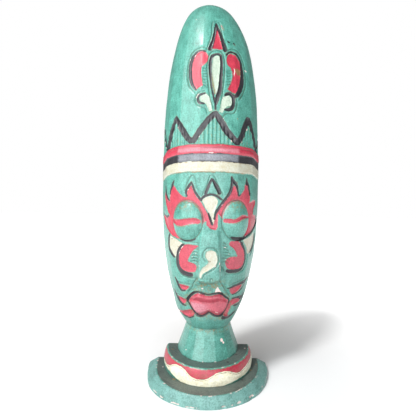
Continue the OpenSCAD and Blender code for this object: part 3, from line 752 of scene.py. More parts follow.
def buildHead():
    share = np.linspace(-1, 1, head["frontColumns"])
    angle = math.pi / 2 * np.sign(share) * np.abs(share) ** 1.12
    face = np.arange(chinZ, 304, 1.0)
    crown = np.arange(304, 430, 1.2)
    tip = topZ - (topZ - 430) * (1 - np.sin(np.linspace(0, math.pi / 2, 44)))
    heights = np.concatenate([face, crown, tip[:-1], [topZ - 0.02]])
    halfWidth = headSize(heights, head["halfWidth"], head["waistHalfWidth"])
    depth = headSize(heights, head["depth"], head["waistDepth"])
    across = angle[None, :] * ((halfWidth + depth) / 2)[:, None]
    up = np.repeat(heights[:, None], len(angle), axis=1)
    out, fields, onBand = carveHead(across, up)
    out *= ease(0, 3, (halfWidth + depth)[:, None] / 2)
    rings = np.stack([
        halfRoundRing(angle, halfWidth[i], depth[i], out[i], heights[i], head["backColumns"])
        for i in range(len(heights))
    ])
    extra = rings.shape[1] - len(angle)

    def wrapped(values, fill):
        return np.concatenate([values, np.full((len(heights), extra), fill)], axis=1)

    fields = {name: wrapped(values, 0.0 if name in ("stainAndShade", "paintedSheen") else farAway) for name,
              values in fields.items()}
    for paint in ("red", "cream", "black"):  # the band's paint runs round the softened corners
        for column in range(3):
            fields[paint][:, len(angle) + column] = fields[paint][:, len(angle) - 1]
            fields[paint][:, -1 - column] = fields[paint][:, 0]
    fields["bulge"] = bulge(wrapped(out * (1 - 0.6 * (1 - ease(140, 152, up)) * (up > 100)), 0.0)) * 0.75
    fields["backIn"] = backDistance(rings)
    brush = np.zeros(rings.shape)
    brush[..., 0] = wrapped(np.where(onBand, up, across), 0.0)
    brush[..., 1] = wrapped(np.where(onBand, across, up) / 14, 0.0)
    brush[:, len(angle):, 0] = rings[:, len(angle):, 0] + 500
    brush[:, len(angle):, 1] = rings[:, len(angle):, 2] / 16
    rings[..., 0] += head["tipShift"] * ease(440, topZ, heights)[:, None]
    return meshFrom("carved_head", rings, fields, brush)


def frontAngles(columns):
    return np.linspace(-math.pi / 2, math.pi / 2, columns)


def ringStack(angle, profile, backColumns):
    # profile: (half width, depth, height, inward scale, out) of each ring; the scale is 1 at the wall,
    # 0 in the middle
    rings = []
    for halfWidth, depth, up, scale, out in profile:
        ring = halfRoundRing(angle, halfWidth, depth, np.broadcast_to(out, angle.shape), 0, backColumns)
        centre = np.array([0, backY - depth * 0.42, 0])
        ring = centre + (ring - centre) * scale
        ring[:, 2] = up if np.ndim(up) == 0 else wrapHeights(up, ring.shape[0])
        rings.append(ring)
    return np.stack(rings)


def wrapHeights(up, count):
    # Heights known along the front carry on round the back, from the right end to the left one
    return np.concatenate([up, np.linspace(up[-1], up[0], count - len(up))])


def simpleFields(rings):
    fields = emptyFields(rings.shape[:2])
    fields["backIn"] = backDistance(rings)
    fields["bulge"] = np.zeros(rings.shape[:2])
    return fields


def alongRing(rings):
    step = np.linalg.norm(np.diff(rings, axis=1, prepend=rings[:, :1]), axis=-1)
    return np.cumsum(step, axis=1)


def addMarks(fields, rings, onFace, marks):
    # Holes, knocks and patches on a step's top: (paint, x, y, radius)
    for paint, x, y, radius in marks:
        away = np.hypot(rings[..., 0] - x, rings[..., 1] - y) - radius
        fields[paint] = np.where(onFace, np.minimum(fields[paint], away), fields[paint])


neck = {
    "flarePower": 1.1,
    "creases": (-91, -72, -50, -28, -8, 14, 38, 62, 91),  # degrees
    "sagPerDegree": 0.026,
    "frontColumns": 190,
    "rows": 44,
    "knocks": (("chip", 31, 53.75, 1.9), ("chip", 34, 50.5, 1.1), ("tan", 14, 65.6, 1.2),
               ("chip", -46, 40, 0.8)),
}


def buildNeck():
    low, high = boxInMm("neck_pillar")
    footHalf, footDepth = high[0], high[1] - low[1]
    angle = frontAngles(neck["frontColumns"])
    turn = np.degrees(angle)
    flats = facetRelief(turn, neck["creases"], neck["sagPerDegree"])
    profile = []
    for up in np.linspace(low[2], high[2], neck["rows"]):
        share = (up - low[2]) / (high[2] - low[2])
        flare = (1 - share) ** neck["flarePower"]
        halfWidth = head["waistHalfWidth"] + (footHalf - head["waistHalfWidth"]) * flare
        depth = head["waistDepth"] + (footDepth - head["waistDepth"]) * flare
        flat = (flats - 0.5) * ease(0, 0.2, 1 - share)
        flat = flat + 0.25 * unevenness(angle * 50, np.full(angle.shape, up), 12, 21) - 0.2
        profile.append((halfWidth, depth, up, 1.0, flat))
    rings = ringStack(angle, profile, 24)
    fields = simpleFields(rings)
    fields["bulge"] = 1.5 * bulge(rings[..., 1] * 0 + np.hypot(rings[..., 0], rings[..., 1] - backY), 3)
    fields["bulge"][:, len(angle) - 4:] = 0
    fields["bulge"][:, :4] = 0
    around = alongRing(rings)
    brush = np.stack([rings[..., 2], around / 9, np.full(around.shape, 3.0)], axis=-1)
    # a faint painted highlight over the neck's left and front
    fields["paintedSheen"][:, 6:len(angle) - 60] = 0.1
    for paint, degrees, up, radius in neck["knocks"]:
        across = (np.append(turn, np.full(rings.shape[1] - len(turn), 180.0)) - degrees) * 0.62
        fields[paint] = np.minimum(fields[paint], np.hypot(across[None, :], rings[..., 2] - up) - radius)
    # painted shade under the chin: the neck darkens towards its top
    fields["stainAndShade"][...] = 0.8 * ease(high[2] - 9, high[2] - 1, rings[..., 2])
    return meshFrom("neck_skin", rings, fields, brush)


upperStep = {
    "rimLean": 4,
    "swell": 0.8,
    "edge": 1.2,  # worn mint line left along the arris
    "waveFoot": 21.5,  # lowest level of the wave where the cream below meets the red above
    # place round the front, rise and half width of each crest; the last one dips instead
    "waveCrests": ((-43, 8.3, 18), (20.5, 7.2, 18), (95, 4.6, 41), (-108, -3.5, 16)),
    "creamFoot": 12,  # lowest edge of the cream
    # side, start, end and rise of each slope that lifts that edge away from the middle
    "creamRises": ((-1, 30, 62, 5.4), (-1, 62, 105, 1.1), (1, 4, 46, 3), (1, 60, 100, 2)),
    "frontColumns": 220,
    "marks": (("black", -5.5, -5.5, 1.1), ("black", 25, -5, 1.2), ("black", 37.5, 15.5, 1.1),
              ("chip", 51, 34, 1.2),
              ("tan", -48, 28, 1.6)),
}


def waveLevel(across):
    crests = upperStep["waveCrests"]
    return upperStep["waveFoot"] + sum(
        rise * np.exp(-(np.abs(across - place) / width) ** 3) for place, rise, width in crests
    )


def buildUpperStep():
    low, high = boxInMm("upper_step")
    swell = upperStep["swell"]
    halfWidth, depth = high[0] - swell * 0.6, high[1] - low[1] - swell * 0.6
    thickness = high[2] - low[2]
    angle = frontAngles(upperStep["frontColumns"])
    profile = []
    wallRows = slice(12, 38)
    for scale in np.linspace(0.04, 0.99, 12):
        profile.append((halfWidth, depth, low[2], scale, 0))
    for share in np.linspace(0, 1, 26):
        lean = upperStep["rimLean"] * share**2 - swell * math.sin(math.pi * share)
        rough = 0.3 * unevenness(angle * 60, np.full(angle.shape, share * 20), 7, 31)
        rough = rough - 0.6 * ease(0.88, 1, share) * (1 + unevenness(angle * 60, angle * 0, 4, 32))
        profile.append((halfWidth - lean, depth - lean, low[2] + thickness * share, 1.0, rough))
    topHalf, topDepth = halfWidth - upperStep["rimLean"], depth - upperStep["rimLean"]
    topScales = 1 - np.linspace(0.12, 0.98, 44) ** 1.6
    for scale in topScales:
        profile.append((topHalf, topDepth, high[2], scale, 0))
    rings = ringStack(angle, profile, 30)
    fields = simpleFields(rings)
    around = alongRing(rings)
    frontAcross = np.zeros(rings.shape[:2])
    frontAcross[:, :len(angle)] = angle * (halfWidth + depth) / 2
    frontAcross[:, len(angle):len(angle) + 3] = frontAcross[:, len(angle) - 1:len(angle)]
    frontAcross[:, -3:] = frontAcross[:, :1]
    up = rings[..., 2]
    wall = np.zeros(rings.shape[:2], bool)
    wall[wallRows, :len(angle) + 3] = True
    wall[wallRows, -3:] = True
    slope = waveLevel(frontAcross + 0.5) - waveLevel(frontAcross - 0.5)  # over one millimetre
    belowWave = (up - waveLevel(frontAcross)) / np.hypot(1, slope)  # square to the edge, minus below it
    creamFoot = upperStep["creamFoot"] + sum(
        rise * ease(start, end, side * frontAcross) for side, start, end, rise in upperStep["creamRises"]
    )
    creamFoot = creamFoot + 0.4 * unevenness(frontAcross, up * 0, 6, 33)
    rim = high[2] - upperStep["edge"]
    fields["red"] = np.where(wall, np.maximum(-belowWave, up - rim), farAway)
    fields["cream"] = np.where(wall, np.maximum(belowWave, creamFoot - up), farAway)
    fields["tan"] = np.where(wall, np.abs(belowWave + 1.3) - 0.4, farAway)
    fields["dark"] = np.where(wall, np.hypot((frontAcross + 24) * 0.8, up - 27) - 1.1, farAway)
    topFace = np.zeros(rings.shape[:2], bool)
    topFace[wallRows.stop:] = True
    inward = np.hypot(rings[..., 0], rings[..., 1] - backY)
    fromRim = (1 - topScales)[:, None] * inward[wallRows.stop:wallRows.stop + 1] * 0.95
    fields["dark"][wallRows.stop:] = 0.9 - fromRim + 0.5 * unevenness(inward[wallRows.stop:],
                                                                      around[wallRows.stop:], 5, 34)
    addMarks(fields, rings, topFace, upperStep["marks"])
    fields["bulge"][35:41] = np.array([0.1, 0.3, 0.5, 0.4, 0.2, 0.1])[:, None]
    fields["stainAndShade"][wall] = 0.25
    # a faint painted highlight on the step's top
    fields["paintedSheen"][topFace] = 0.1
    brush = np.stack([np.where(topFace, inward, up), around / 16, np.full(around.shape, 7.0)], axis=-1)
    return meshFrom("upper_step_skin", rings, fields, brush)


lowerStep = {
    "sideBevel": 11,
    "frontBevel": 4,
    "edgeHeights": [(-90, 7), (-74, 5), (-50, 1.4), (-20, 0.8), (10, 1.8), (35, 3), (60, 3.6), (76, 5),
                    (90, 7)],
    # how far the hewn outline stands outside a true half ellipse: degrees round, mm
    "fuller": [(-90, -3), (-75, -1.5), (-58, 1.2), (-40, 1.8), (-20, 0.6), (5, 0), (35, 0), (60, -0.5),
               (80, -2), (90, -3)],
    "frontColumns": 260,
    # bigger knocks out of the bottom edge: degrees round, width in degrees, depth in mm
    "knocks": ((-48, 5, 1.2), (-39, 7, 0.9), (-25, 6, 1.3), (-13, 6, 1.2), (-7, 3, 1), (12.6, 2.6, 2.2),
               (24.6, 6, 1),
               (38.6, 3.4, 2.4), (55, 4, 0.8)),
    "marks": (("black", 43, -9, 1.2), ("tan", -41.5, -9, 2.6), ("tan", 56, 15, 2.2), ("tan", 66, 30, 1.6),
              ("chip", -60, 20, 1)),
}


def buildLowerStep():
    low, high = boxInMm("lower_step")
    halfWidth, depth = high[0], high[1] - low[1]
    thickness = high[2] - low[2]
    angle = frontAngles(lowerStep["frontColumns"])
    turn = np.degrees(angle)
    edgeHeight = np.interp(turn, *zip(*lowerStep["edgeHeights"]))
    knock = 0.7 * np.clip(unevenness(angle * 80, angle * 0, 5, 41), 0, 1)
    knock = knock + 0.4 * np.clip(unevenness(angle * 80, angle * 0, 1.8, 42), 0, 1)
    fuller = np.interp(turn, *zip(*lowerStep["fuller"]))
    for place, width, deep in lowerStep["knocks"]:
        knock = np.maximum(knock, deep * (1 - ease(0.3, 1, np.abs(turn - place) / width)))
    profile = []
    for scale in np.linspace(0.04, 0.99, 16):
        profile.append((halfWidth, depth, low[2], scale, fuller))
    for part in np.linspace(0, 1, 6):
        profile.append((halfWidth, depth, low[2] + edgeHeight * part, 1.0, fuller - knock
                        * ease(0, 1, 0.25 + 0.75 * part)))
    for part in np.linspace(0.05, 1, 16):
        rough = -knock * (1 - ease(0, 0.22, part)) + 0.3 * unevenness(angle * 80,
                                                                      np.full(angle.shape, part * 12), 9, 43)
        inHalf, inDepth = lowerStep["sideBevel"] * part, lowerStep["frontBevel"] * part
        up = low[2] + edgeHeight + (thickness - edgeHeight) * part
        profile.append((halfWidth - inHalf, depth - inDepth, up, 1.0, fuller + rough * (1 - 0.8 * part)))
    topHalf, topDepth = halfWidth - lowerStep["sideBevel"], depth - lowerStep["frontBevel"]
    topScales = 1 - np.linspace(0.11, 0.98, 46) ** 1.6
    for scale in topScales:
        profile.append((topHalf, topDepth, high[2], scale, fuller))
    rings = ringStack(angle, profile, 40)
    fields = simpleFields(rings)
    around = alongRing(rings)
    firstTop = 16 + 6 + 16
    topFace = np.zeros(rings.shape[:2], bool)
    topFace[firstTop:] = True
    inward = np.hypot(rings[..., 0], rings[..., 1] - backY)
    fromRim = (1 - topScales)[:, None] * inward[firstTop:firstTop + 1] * 0.95
    fields["dark"][firstTop:] = 0.5 - fromRim + 0.5 * unevenness(inward[firstTop:], around[firstTop:], 5, 44)
    addMarks(fields, rings, topFace, lowerStep["marks"])
    # painted highlight: the edge and bevel are lightened, the top a little
    fields["paintedSheen"][16:] = np.where(topFace[16:], 0.1, 0.55)
    worn = np.append(0.1 + 0.6 * np.clip(knock, 0, 1.4), np.zeros(rings.shape[1] - len(angle)))
    for row, share in ((18, 0.3), (19, 0.6), (20, 0.9), (21, 1.1), (22, 1.1), (23, 0.8), (24, 0.4)):
        fields["bulge"][row] = share * worn
    fields["bulge"][firstTop - 2:firstTop + 2] = np.array([0.2, 0.5, 0.5, 0.2])[:, None]
    brush = np.stack([np.where(topFace, inward, rings[..., 2]), around / 16, np.full(around.shape, 9.0)],
                     axis=-1)
    return meshFrom("lower_step_skin", rings, fields, brush)


def drillPockets(step):
    # The screws' head pockets in the underside of the lower step
    pocketRadius, pocketDepth = 5.5 * mm, 4 * mm
    for name in [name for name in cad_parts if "screw" in name]:
        low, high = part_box(name)
        bpy.ops.mesh.primitive_cylinder_add(vertices=40, radius=pocketRadius, depth=2 * pocketDepth,
                                            location=((low.x + high.x) / 2, (low.y + high.y) / 2, 0))
        drill = bpy.context.object
        cut = step.modifiers.new("pocket", "BOOLEAN")
        cut.object = drill
        cut.solver = "EXACT"
        bpy.context.view_layer.objects.active = step
        bpy.ops.object.modifier_apply(modifier=cut.name)
        bpy.data.objects.remove(drill)


def srgb(code):
    parts = [int(code[i:i + 2], 16) / 255 for i in (1, 3, 5)]
    return [part / 12.92 if part <= 0.04045 else ((part + 0.055) / 1.055) ** 2.4 for part in parts] + [1]


def addNode(tree, kind, inputs=None, **settings):
    node = tree.nodes.new("ShaderNode" + kind)
    for name, value in settings.items():
        setattr(node, name, value)
    for socket, value in (inputs or {}).items():
        if isinstance(value, bpy.types.NodeSocket):
            tree.links.new(value, node.inputs[socket])
        else:
            node.inputs[socket].default_value = value
    return node


def newMaterial(name):
    material = bpy.data.materials.new(name)
    material.use_nodes = True
    material.node_tree.nodes.clear()
    return material, material.node_tree


# Oil enamel brushed by hand on carved pine: satin colour that mottles where the wood drank it, lies thin
# beside each painted edge so that old varnish shows tan there, and has chipped to pink primer on the arrises.
enamel = {
    "mint": ("#2f6d61", "#569d8e"),  # thin and thick paint
    "dark": ("#3a4741", "#55625a"),
    "red": ("#942236", "#b83347"),
    "cream": ("#a59e84", "#b4b6a9"),
    "brightenedCream": ("#dbd2b0", "#e9e8d6"),  # on the steps, a lighter cream: painted light making up for the little light their wall gets
    "pale": ("#8d9f8f", "#b3c0b0"),
    "black": ("#131317", "#27272d"),
    # a pale bluish painted sheen, a painted highlight mixed into the paint colour
    "paintedSheen": "#bcc3cf",
    # the grooves' darker green is painted shade
    "groove": "#2c5a4c",
    "varnish": "#7a6540",
    # grime, and painted shade under the nose, round the mouth, under the chin and in the hollows
    "grimeAndShade": "#6c6a42",
    "primer": "#dfc6c0",
    "pine": ("#c9a678", "#e6cfa6"),
    "roughness": (0.36, 0.52),
    "strokeWidth": 1.5,  # mm between brush marks
    "mottleWidth": 11,  # mm between thick and thin patches
    "grainWidth": 1.7,  # mm; the paint's real grain is finer, and is drawn as coarse as it shows
    "strokeHeight": 0.1,  # mm
    "wobble": 0.45,  # how far a painted edge wanders, in mm
    "blackSpread": 0.48,  # how far the black strokes flood past their drawn width, in mm
}


def enamelOnPine(name, cream, strokeHeight=1.0, wear=1.0):
    material, tree = newMaterial(name)
    strokesAt = addNode(tree, "Attribute", attribute_name="brush").outputs["Vector"]
    place = addNode(tree, "TexCoord").outputs["Object"]
    strokes = addNode(tree, "TexNoise", {
        "Vector": strokesAt, "Scale": 1 / enamel["strokeWidth"], "Detail": 3.0, "Roughness": 0.6,
    }).outputs["Fac"]
    mottle = addNode(tree, "TexNoise", {
        "Vector": place, "Scale": 1000 / enamel["mottleWidth"], "Detail": 5.0, "Roughness": 0.62,
    }).outputs["Fac"]
    patches = addNode(tree, "TexNoise",
                      {"Vector": place, "Scale": 60.0, "Detail": 4.0, "Roughness": 0.6}).outputs["Fac"]
    grain = addNode(tree, "TexNoise", {
        "Vector": place, "Scale": 1000 / enamel["grainWidth"], "Detail": 2.0, "Roughness": 0.6,
    }).outputs["Fac"]
    wander = addNode(tree, "TexNoise", {"Vector": place, "Scale": 260.0, "Detail": 2.0}).outputs["Fac"]
    wanderMm = addNode(tree, "MapRange", {
        "Value": wander, "From Min": 0.25, "From Max": 0.75, "To Min": -enamel["wobble"],
        "To Max": enamel["wobble"],
    }).outputs["Result"]
    tone = addNode(tree, "Mix", {0: 0.6, 2: strokes, 3: mottle}).outputs[0]
    tone = addNode(tree, "Mix", {0: 0.42, 2: tone, 3: grain}).outputs[0]
    thick = addNode(tree, "MapRange", {"Value": tone, "From Min": 0.38, "From Max": 0.6}).outputs["Result"]

    colour = addNode(tree, "Mix", {0: thick, 6: srgb(enamel["mint"][0]), 7: srgb(enamel["mint"][1])},
                     data_type="RGBA").outputs[2]
    height = addNode(tree, "Math", {0: strokes, 1: enamel["strokeHeight"] * strokeHeight},
                     operation="MULTIPLY").outputs[0]
    nearest = None
    for paint in ("dark", "red", "cream", "pale", "black"):
        edge = addNode(tree, "Attribute", attribute_name=paint).outputs["Fac"]
        moved = addNode(tree, "Math", {0: edge, 1: wanderMm}, operation="ADD").outputs[0]
        spread = enamel["blackSpread"] if paint == "black" else 0
        mask = addNode(tree, "MapRange", {"Value": moved, "From Min": 0.3 + spread, "From Max": spread - 0.3},
                       interpolation_type="SMOOTHSTEP").outputs["Result"]
        thin, full = enamel[cream] if paint == "cream" else enamel[paint]
        shade = addNode(tree, "Mix", {0: thick, 6: srgb(thin), 7: srgb(full)}, data_type="RGBA").outputs[2]
        if paint != "black":
            colour = addNode(tree, "Mix", {0: mask, 6: colour, 7: shade}, data_type="RGBA").outputs[2]
        height = addNode(tree, "Math", {0: mask, 1: 0.06, 2: height}, operation="MULTIPLY_ADD").outputs[0]
        if paint != "dark":
            nearest = moved if nearest is None else addNode(
                tree, "Math", {0: nearest, 1: moved}, operation="MINIMUM").outputs[0]

    # thin paint just outside each painted edge lets the old varnish show, here and there
    outside = addNode(tree, "MapRange",
                      {"Value": nearest, "From Min": 0.15, "From Max": 0.45}).outputs["Result"]
    inside = addNode(tree, "MapRange",
                     {"Value": nearest, "From Min": 1.25, "From Max": 0.7}).outputs["Result"]
    here = addNode(tree, "MapRange",
                   {"Value": mottle, "From Min": 0.42, "From Max": 0.58, "To Max": 0.55}).outputs["Result"]
    line = addNode(tree, "Math", {0: outside, 1: inside}, operation="MULTIPLY").outputs[0]
    line = addNode(tree, "Math", {0: line, 1: here}, operation="MULTIPLY").outputs[0]
    tanEdge = addNode(tree, "Attribute", attribute_name="tan").outputs["Fac"]
    tanEdge = addNode(tree, "Math", {0: tanEdge, 1: wanderMm}, operation="ADD").outputs[0]
    tanMask = addNode(tree, "MapRange",
                      {"Value": tanEdge, "From Min": 0.25, "From Max": -0.25,
                       "To Max": 0.8}).outputs["Result"]
    line = addNode(tree, "Math", {0: line, 1: tanMask}, operation="MAXIMUM").outputs[0]
    colour = addNode(tree, "Mix", {0: line, 6: colour, 7: srgb(enamel["varnish"])},
                     data_type="RGBA").outputs[2]

    # grooves are painted dark green, a painted shade in them, and grime and painted shade gather in the
    # hollows and in the stained places
    cutEdge = addNode(tree, "Attribute", attribute_name="cut").outputs["Fac"]
    cutMask = addNode(tree, "MapRange",
                      {"Value": cutEdge, "From Min": 0.25, "From Max": -0.45,
                       "To Max": 0.85}).outputs["Result"]
    colour = addNode(tree, "Mix", {0: cutMask, 6: colour, 7: srgb(enamel["groove"])},
                     data_type="RGBA").outputs[2]
    proud = addNode(tree, "Attribute", attribute_name="bulge").outputs["Fac"]
    sunk = addNode(tree, "MapRange",
                   {"Value": proud, "From Min": -0.3, "From Max": -1.0, "To Max": 0.4}).outputs["Result"]
    stainAndShade = addNode(tree, "Attribute", attribute_name="stainAndShade").outputs["Fac"]
    blotch = addNode(tree, "MapRange",
                     {"Value": wander, "From Min": 0.46, "From Max": 0.62, "To Max": 0.75}).outputs["Result"]
    stainAndShade = addNode(tree, "Math", {0: stainAndShade, 1: blotch}, operation="MULTIPLY").outputs[0]
    stainAndShade = addNode(tree, "Math", {0: stainAndShade, 1: sunk}, operation="MAXIMUM").outputs[0]
    colour = addNode(tree, "Mix", {0: stainAndShade, 6: colour, 7: srgb(enamel["grimeAndShade"])},
                     data_type="RGBA").outputs[2]

    # black goes on last, over the grooves, and a pale painted sheen, a painted highlight, goes over the
    # headband's front and the other places given
    colour = addNode(tree, "Mix", {0: mask, 6: colour, 7: shade}, data_type="RGBA").outputs[2]
    paintedSheen = addNode(tree, "Attribute", attribute_name="paintedSheen").outputs["Fac"]
    paintedSheenAmount = addNode(tree, "MapRange", {
        "Value": tone, "From Min": 0.3, "From Max": 0.7, "To Min": 0.1, "To Max": 0.5,
    }).outputs["Result"]
    paintedSheen = addNode(tree, "Math", {0: paintedSheen, 1: paintedSheenAmount}, operation="MULTIPLY").outputs[0]
    colour = addNode(tree, "Mix", {0: paintedSheen, 6: colour, 7: srgb(enamel["paintedSheen"])},
                     data_type="RGBA").outputs[2]

    # rubbed and chipped arrises, down to primer
    ragged = addNode(tree, "MapRange", {
        "Value": wander, "From Min": 0.3, "From Max": 0.7, "To Min": -0.55, "To Max": 0.25,
    }).outputs["Result"]
    rubbed = addNode(tree, "Math", {0: proud, 1: ragged}, operation="ADD").outputs[0]
    rubbed = addNode(tree, "MapRange",
                     {"Value": rubbed, "From Min": 0.5, "From Max": 0.62, "To Max": wear}).outputs["Result"]
    chip = addNode(tree, "Attribute", attribute_name="chip").outputs["Fac"]
    chip = addNode(tree, "Math", {0: chip, 1: wanderMm}, operation="ADD").outputs[0]
    chip = addNode(tree, "MapRange", {"Value": chip, "From Min": 0.2, "From Max": -0.2}).outputs["Result"]
    bare = addNode(tree, "Math", {0: rubbed, 1: chip}, operation="MAXIMUM").outputs[0]
    colour = addNode(tree, "Mix", {0: bare, 6: colour, 7: srgb(enamel["primer"])},
                     data_type="RGBA").outputs[2]

    # the flat back stays bare pine, with paint lapped over its edges
    backIn = addNode(tree, "Attribute", attribute_name="backIn").outputs["Fac"]
    lapped = addNode(tree, "MapRange", {
        "Value": patches, "From Min": 0.3, "From Max": 0.7, "To Min": -1.0, "To Max": -8.0,
    }).outputs["Result"]
    lapped = addNode(tree, "Math", {0: backIn, 1: lapped}, operation="ADD").outputs[0]
    wood = addNode(tree, "MapRange", {"Value": lapped, "From Min": -0.4, "From Max": 0.4}).outputs["Result"]
    rings = addNode(tree, "TexNoise", {
        "Vector": strokesAt, "Scale": 0.35, "Detail": 5.0, "Roughness": 0.55, "Distortion": 0.4,
    }).outputs["Fac"]
    rings = addNode(tree, "MapRange", {"Value": rings, "From Min": 0.35, "From Max": 0.65}).outputs["Result"]
    pine = addNode(tree, "Mix", {0: rings, 6: srgb(enamel["pine"][0]), 7: srgb(enamel["pine"][1])},
                   data_type="RGBA").outputs[2]
    colour = addNode(tree, "Mix", {0: wood, 6: colour, 7: pine}, data_type="RGBA").outputs[2]

    uncoated = addNode(tree, "Math", {0: wood, 1: bare}, operation="MAXIMUM").outputs[0]
    roughness = addNode(tree, "MapRange", {
        "Value": mottle, "From Min": 0.3, "From Max": 0.7, "To Min": enamel["roughness"][0],
        "To Max": enamel["roughness"][1],
    }).outputs["Result"]
    roughness = addNode(tree, "Mix", {0: uncoated, 2: roughness, 3: 0.8}).outputs[0]
    height = addNode(tree, "Math", {0: grain, 1: 0.26, 2: height}, operation="MULTIPLY_ADD").outputs[0]
    height = addNode(tree, "Math", {0: mottle, 1: 0.25, 2: height}, operation="MULTIPLY_ADD").outputs[0]
    height = addNode(tree, "Math", {0: bare, 1: -0.12, 2: height}, operation="MULTIPLY_ADD").outputs[0]
    height = addNode(tree, "Math", {0: cutMask, 1: -0.25, 2: height}, operation="MULTIPLY_ADD").outputs[0]
    bump = addNode(tree, "Bump", {"Height": height, "Distance": mm, "Strength": 1.0}).outputs["Normal"]
    shader = addNode(tree, "BsdfPrincipled", {
        "Base Color": colour, "Roughness": roughness, "Normal": bump, "IOR": 1.5,
        "Coat Weight": 0.35, "Coat Roughness": 0.25,
    })
    addNode(tree, "OutputMaterial", {"Surface": shader.outputs[0]})
    return material


# Beech dowel: turned rod with fine straight grain, dull and a little pink
def beechRod():
    material, tree = newMaterial("beech dowel")
    place = addNode(tree, "TexCoord").outputs["Object"]
    along = addNode(tree, "Mapping", {"Vector": place, "Scale": (900, 900, 60)}).outputs[0]
    grain = addNode(tree, "TexNoise", {"Vector": along, "Scale": 1.0, "Detail": 3.0}).outputs["Fac"]
    colour = addNode(tree, "Mix", {0: grain, 6: srgb("#b98d62"), 7: srgb("#dcb98c")},
                     data_type="RGBA").outputs[2]
    bump = addNode(tree, "Bump", {"Height": grain, "Distance": 0.05 * mm}).outputs["Normal"]
    shader = addNode(tree, "BsdfPrincipled", {"Base Color": colour, "Roughness": 0.62, "Normal": bump})
    addNode(tree, "OutputMaterial", {"Surface": shader.outputs[0]})
    return material


# Zinc-plated steel: rolled screws, bright with faint turning marks and a cloudy bluish plating
def zincSteel():
    material, tree = newMaterial("zinc plated steel")
    place = addNode(tree, "TexCoord").outputs["Object"]
    cloud = addNode(tree, "TexNoise", {"Vector": place, "Scale": 500.0, "Detail": 3.0}).outputs["Fac"]
    colour = addNode(tree, "Mix", {0: cloud, 6: srgb("#9a9ba0"), 7: srgb("#c4c6c8")},
                     data_type="RGBA").outputs[2]
    roughness = addNode(tree, "MapRange", {"Value": cloud, "To Min": 0.25, "To Max": 0.5}).outputs["Result"]
    shader = addNode(tree, "BsdfPrincipled", {"Base Color": colour, "Roughness": roughness, "Metallic": 1.0})
    addNode(tree, "OutputMaterial", {"Surface": shader.outputs[0]})
    return material


carving = enamelOnPine("brushed enamel on carved pine", "cream")
# the steps take the lighter cream, painted light for their dim wall
stand = enamelOnPine("brushed enamel on pine steps", "brightenedCream", strokeHeight=1.3, wear=0.7)

for build, node, material in (
    (buildHead, "mask_head", carving),
    (buildNeck, "neck_pillar", stand),
    (buildUpperStep, "upper_step", stand),
    (buildLowerStep, "lower_step", stand),
):
    piece = build()
    if node == "lower_step":
        drillPockets(piece)
    piece.data.materials.clear()
    piece.data.materials.append(material)
    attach(piece, "root")
    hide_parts(node)
    print("built", piece.name, len(piece.data.polygons), "faces")

beech, steel = beechRod(), zincSteel()
for name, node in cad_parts.items():
    if "dowel" in name or "screw" in name:
        node.data.materials.clear()
        node.data.materials.append(beech if "dowel" in name else steel)

# Soft studio light from the front left, as from a big window, with a sun for the one soft shadow.
# Directions are in degrees: azimuth from the front towards the right, height above the floor.
studio = {
    "sun": {"azimuth": -45, "height": 53, "strength": 1.9, "softness": 8},
    "softboxes": (
        # name, azimuth, height, metres away, width, height of the panel, watts, tint
        ("window", -50, 24, 1.3, 1.0, 1.0, 14, (0.97, 0.99, 1)),
        ("low front", -12, 5, 1.2, 0.7, 0.3, 3, (1, 1, 1)),
        ("front panel", 12, 17, 1.3, 0.8, 0.6, 7, (0.95, 0.98, 1)),
    ),
    "ambient": 0.2,
    "floorGlow": 1.0,  # far from the mask, where the floor fades to white paper
    "glowFrom": 0.1,
    "glowTo": 0.72,  # metres from the mask
}


def towards(azimuth, height):
    a, e = math.radians(azimuth), math.radians(height)
    return Vector((math.sin(a) * math.cos(e), -math.cos(a) * math.cos(e), math.sin(e)))


def addLight(light, source, away):
    lamp = bpy.data.objects.new(light.name, light)
    bpy.context.scene.collection.objects.link(lamp)
    lamp.location = Vector((0, 0, 0.25)) + source * away
    lamp.rotation_euler = source.to_track_quat("Z", "Y").to_euler()


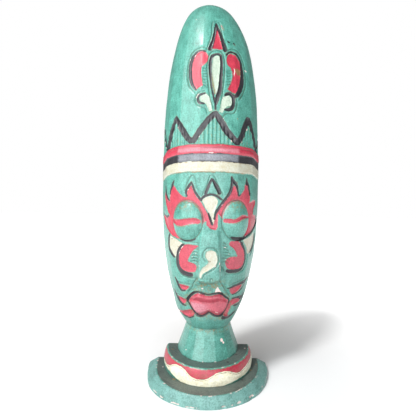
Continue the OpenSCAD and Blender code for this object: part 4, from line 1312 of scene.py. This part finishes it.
sunlight = bpy.data.lights.new("sun", "SUN")
sunlight.energy, sunlight.angle = studio["sun"]["strength"], math.radians(studio["sun"]["softness"])
addLight(sunlight, towards(studio["sun"]["azimuth"], studio["sun"]["height"]), 3)
for name, azimuth, height, away, width, tall, watts, tint in studio["softboxes"]:
    panel = bpy.data.lights.new(name, "AREA")
    panel.shape, panel.size, panel.size_y = "RECTANGLE", width, tall
    panel.energy, panel.color = watts, tint
    addLight(panel, towards(azimuth, height), away)

bpy.ops.mesh.primitive_plane_add(size=30, location=(0, 0, 0))
floor = bpy.context.object
floor.name = "floor"
floorMaterial, tree = newMaterial("matt white floor")
spot = addNode(tree, "TexCoord").outputs["Object"]
away = addNode(tree, "VectorMath", {0: spot}, operation="LENGTH").outputs["Value"]
glow = addNode(tree, "MapRange", {
    "Value": away, "From Min": studio["glowFrom"], "From Max": studio["glowTo"],
    "To Max": studio["floorGlow"],
}, interpolation_type="SMOOTHSTEP").outputs["Result"]
shader = addNode(tree, "BsdfPrincipled", {
    "Base Color": srgb("#eeeeee"), "Roughness": 0.9, "Specular IOR Level": 0.1,
    "Emission Color": (1, 1, 1, 1), "Emission Strength": glow,
})
addNode(tree, "OutputMaterial", {"Surface": shader.outputs[0]})
floor.data.materials.append(floorMaterial)

world = bpy.data.worlds.new("studio")
bpy.context.scene.world = world
world.use_nodes = True
tree = world.node_tree
tree.nodes.clear()
seen = addNode(tree, "LightPath").outputs["Is Camera Ray"]
strength = addNode(tree, "MapRange",
                   {"Value": seen, "To Min": studio["ambient"], "To Max": 1.0}).outputs["Result"]
sky = addNode(tree, "Background", {"Color": (1, 1, 1, 1), "Strength": strength})
addNode(tree, "OutputWorld", {"Surface": sky.outputs[0]})

camera = bpy.data.cameras.new("camera")
camera.sensor_width, camera.lens = 36, 25.96
camera.shift_x, camera.shift_y = -0.0041, 0.0096
viewer = bpy.data.objects.new("camera", camera)
bpy.context.scene.collection.objects.link(viewer)
viewer.location = (0, backY * mm - 0.429, 0.221)
viewer.rotation_euler = (math.radians(90), math.radians(-0.75), 0)
bpy.context.scene.camera = viewer
bpy.context.scene.view_settings.view_transform = "Standard"
print("studio ready")
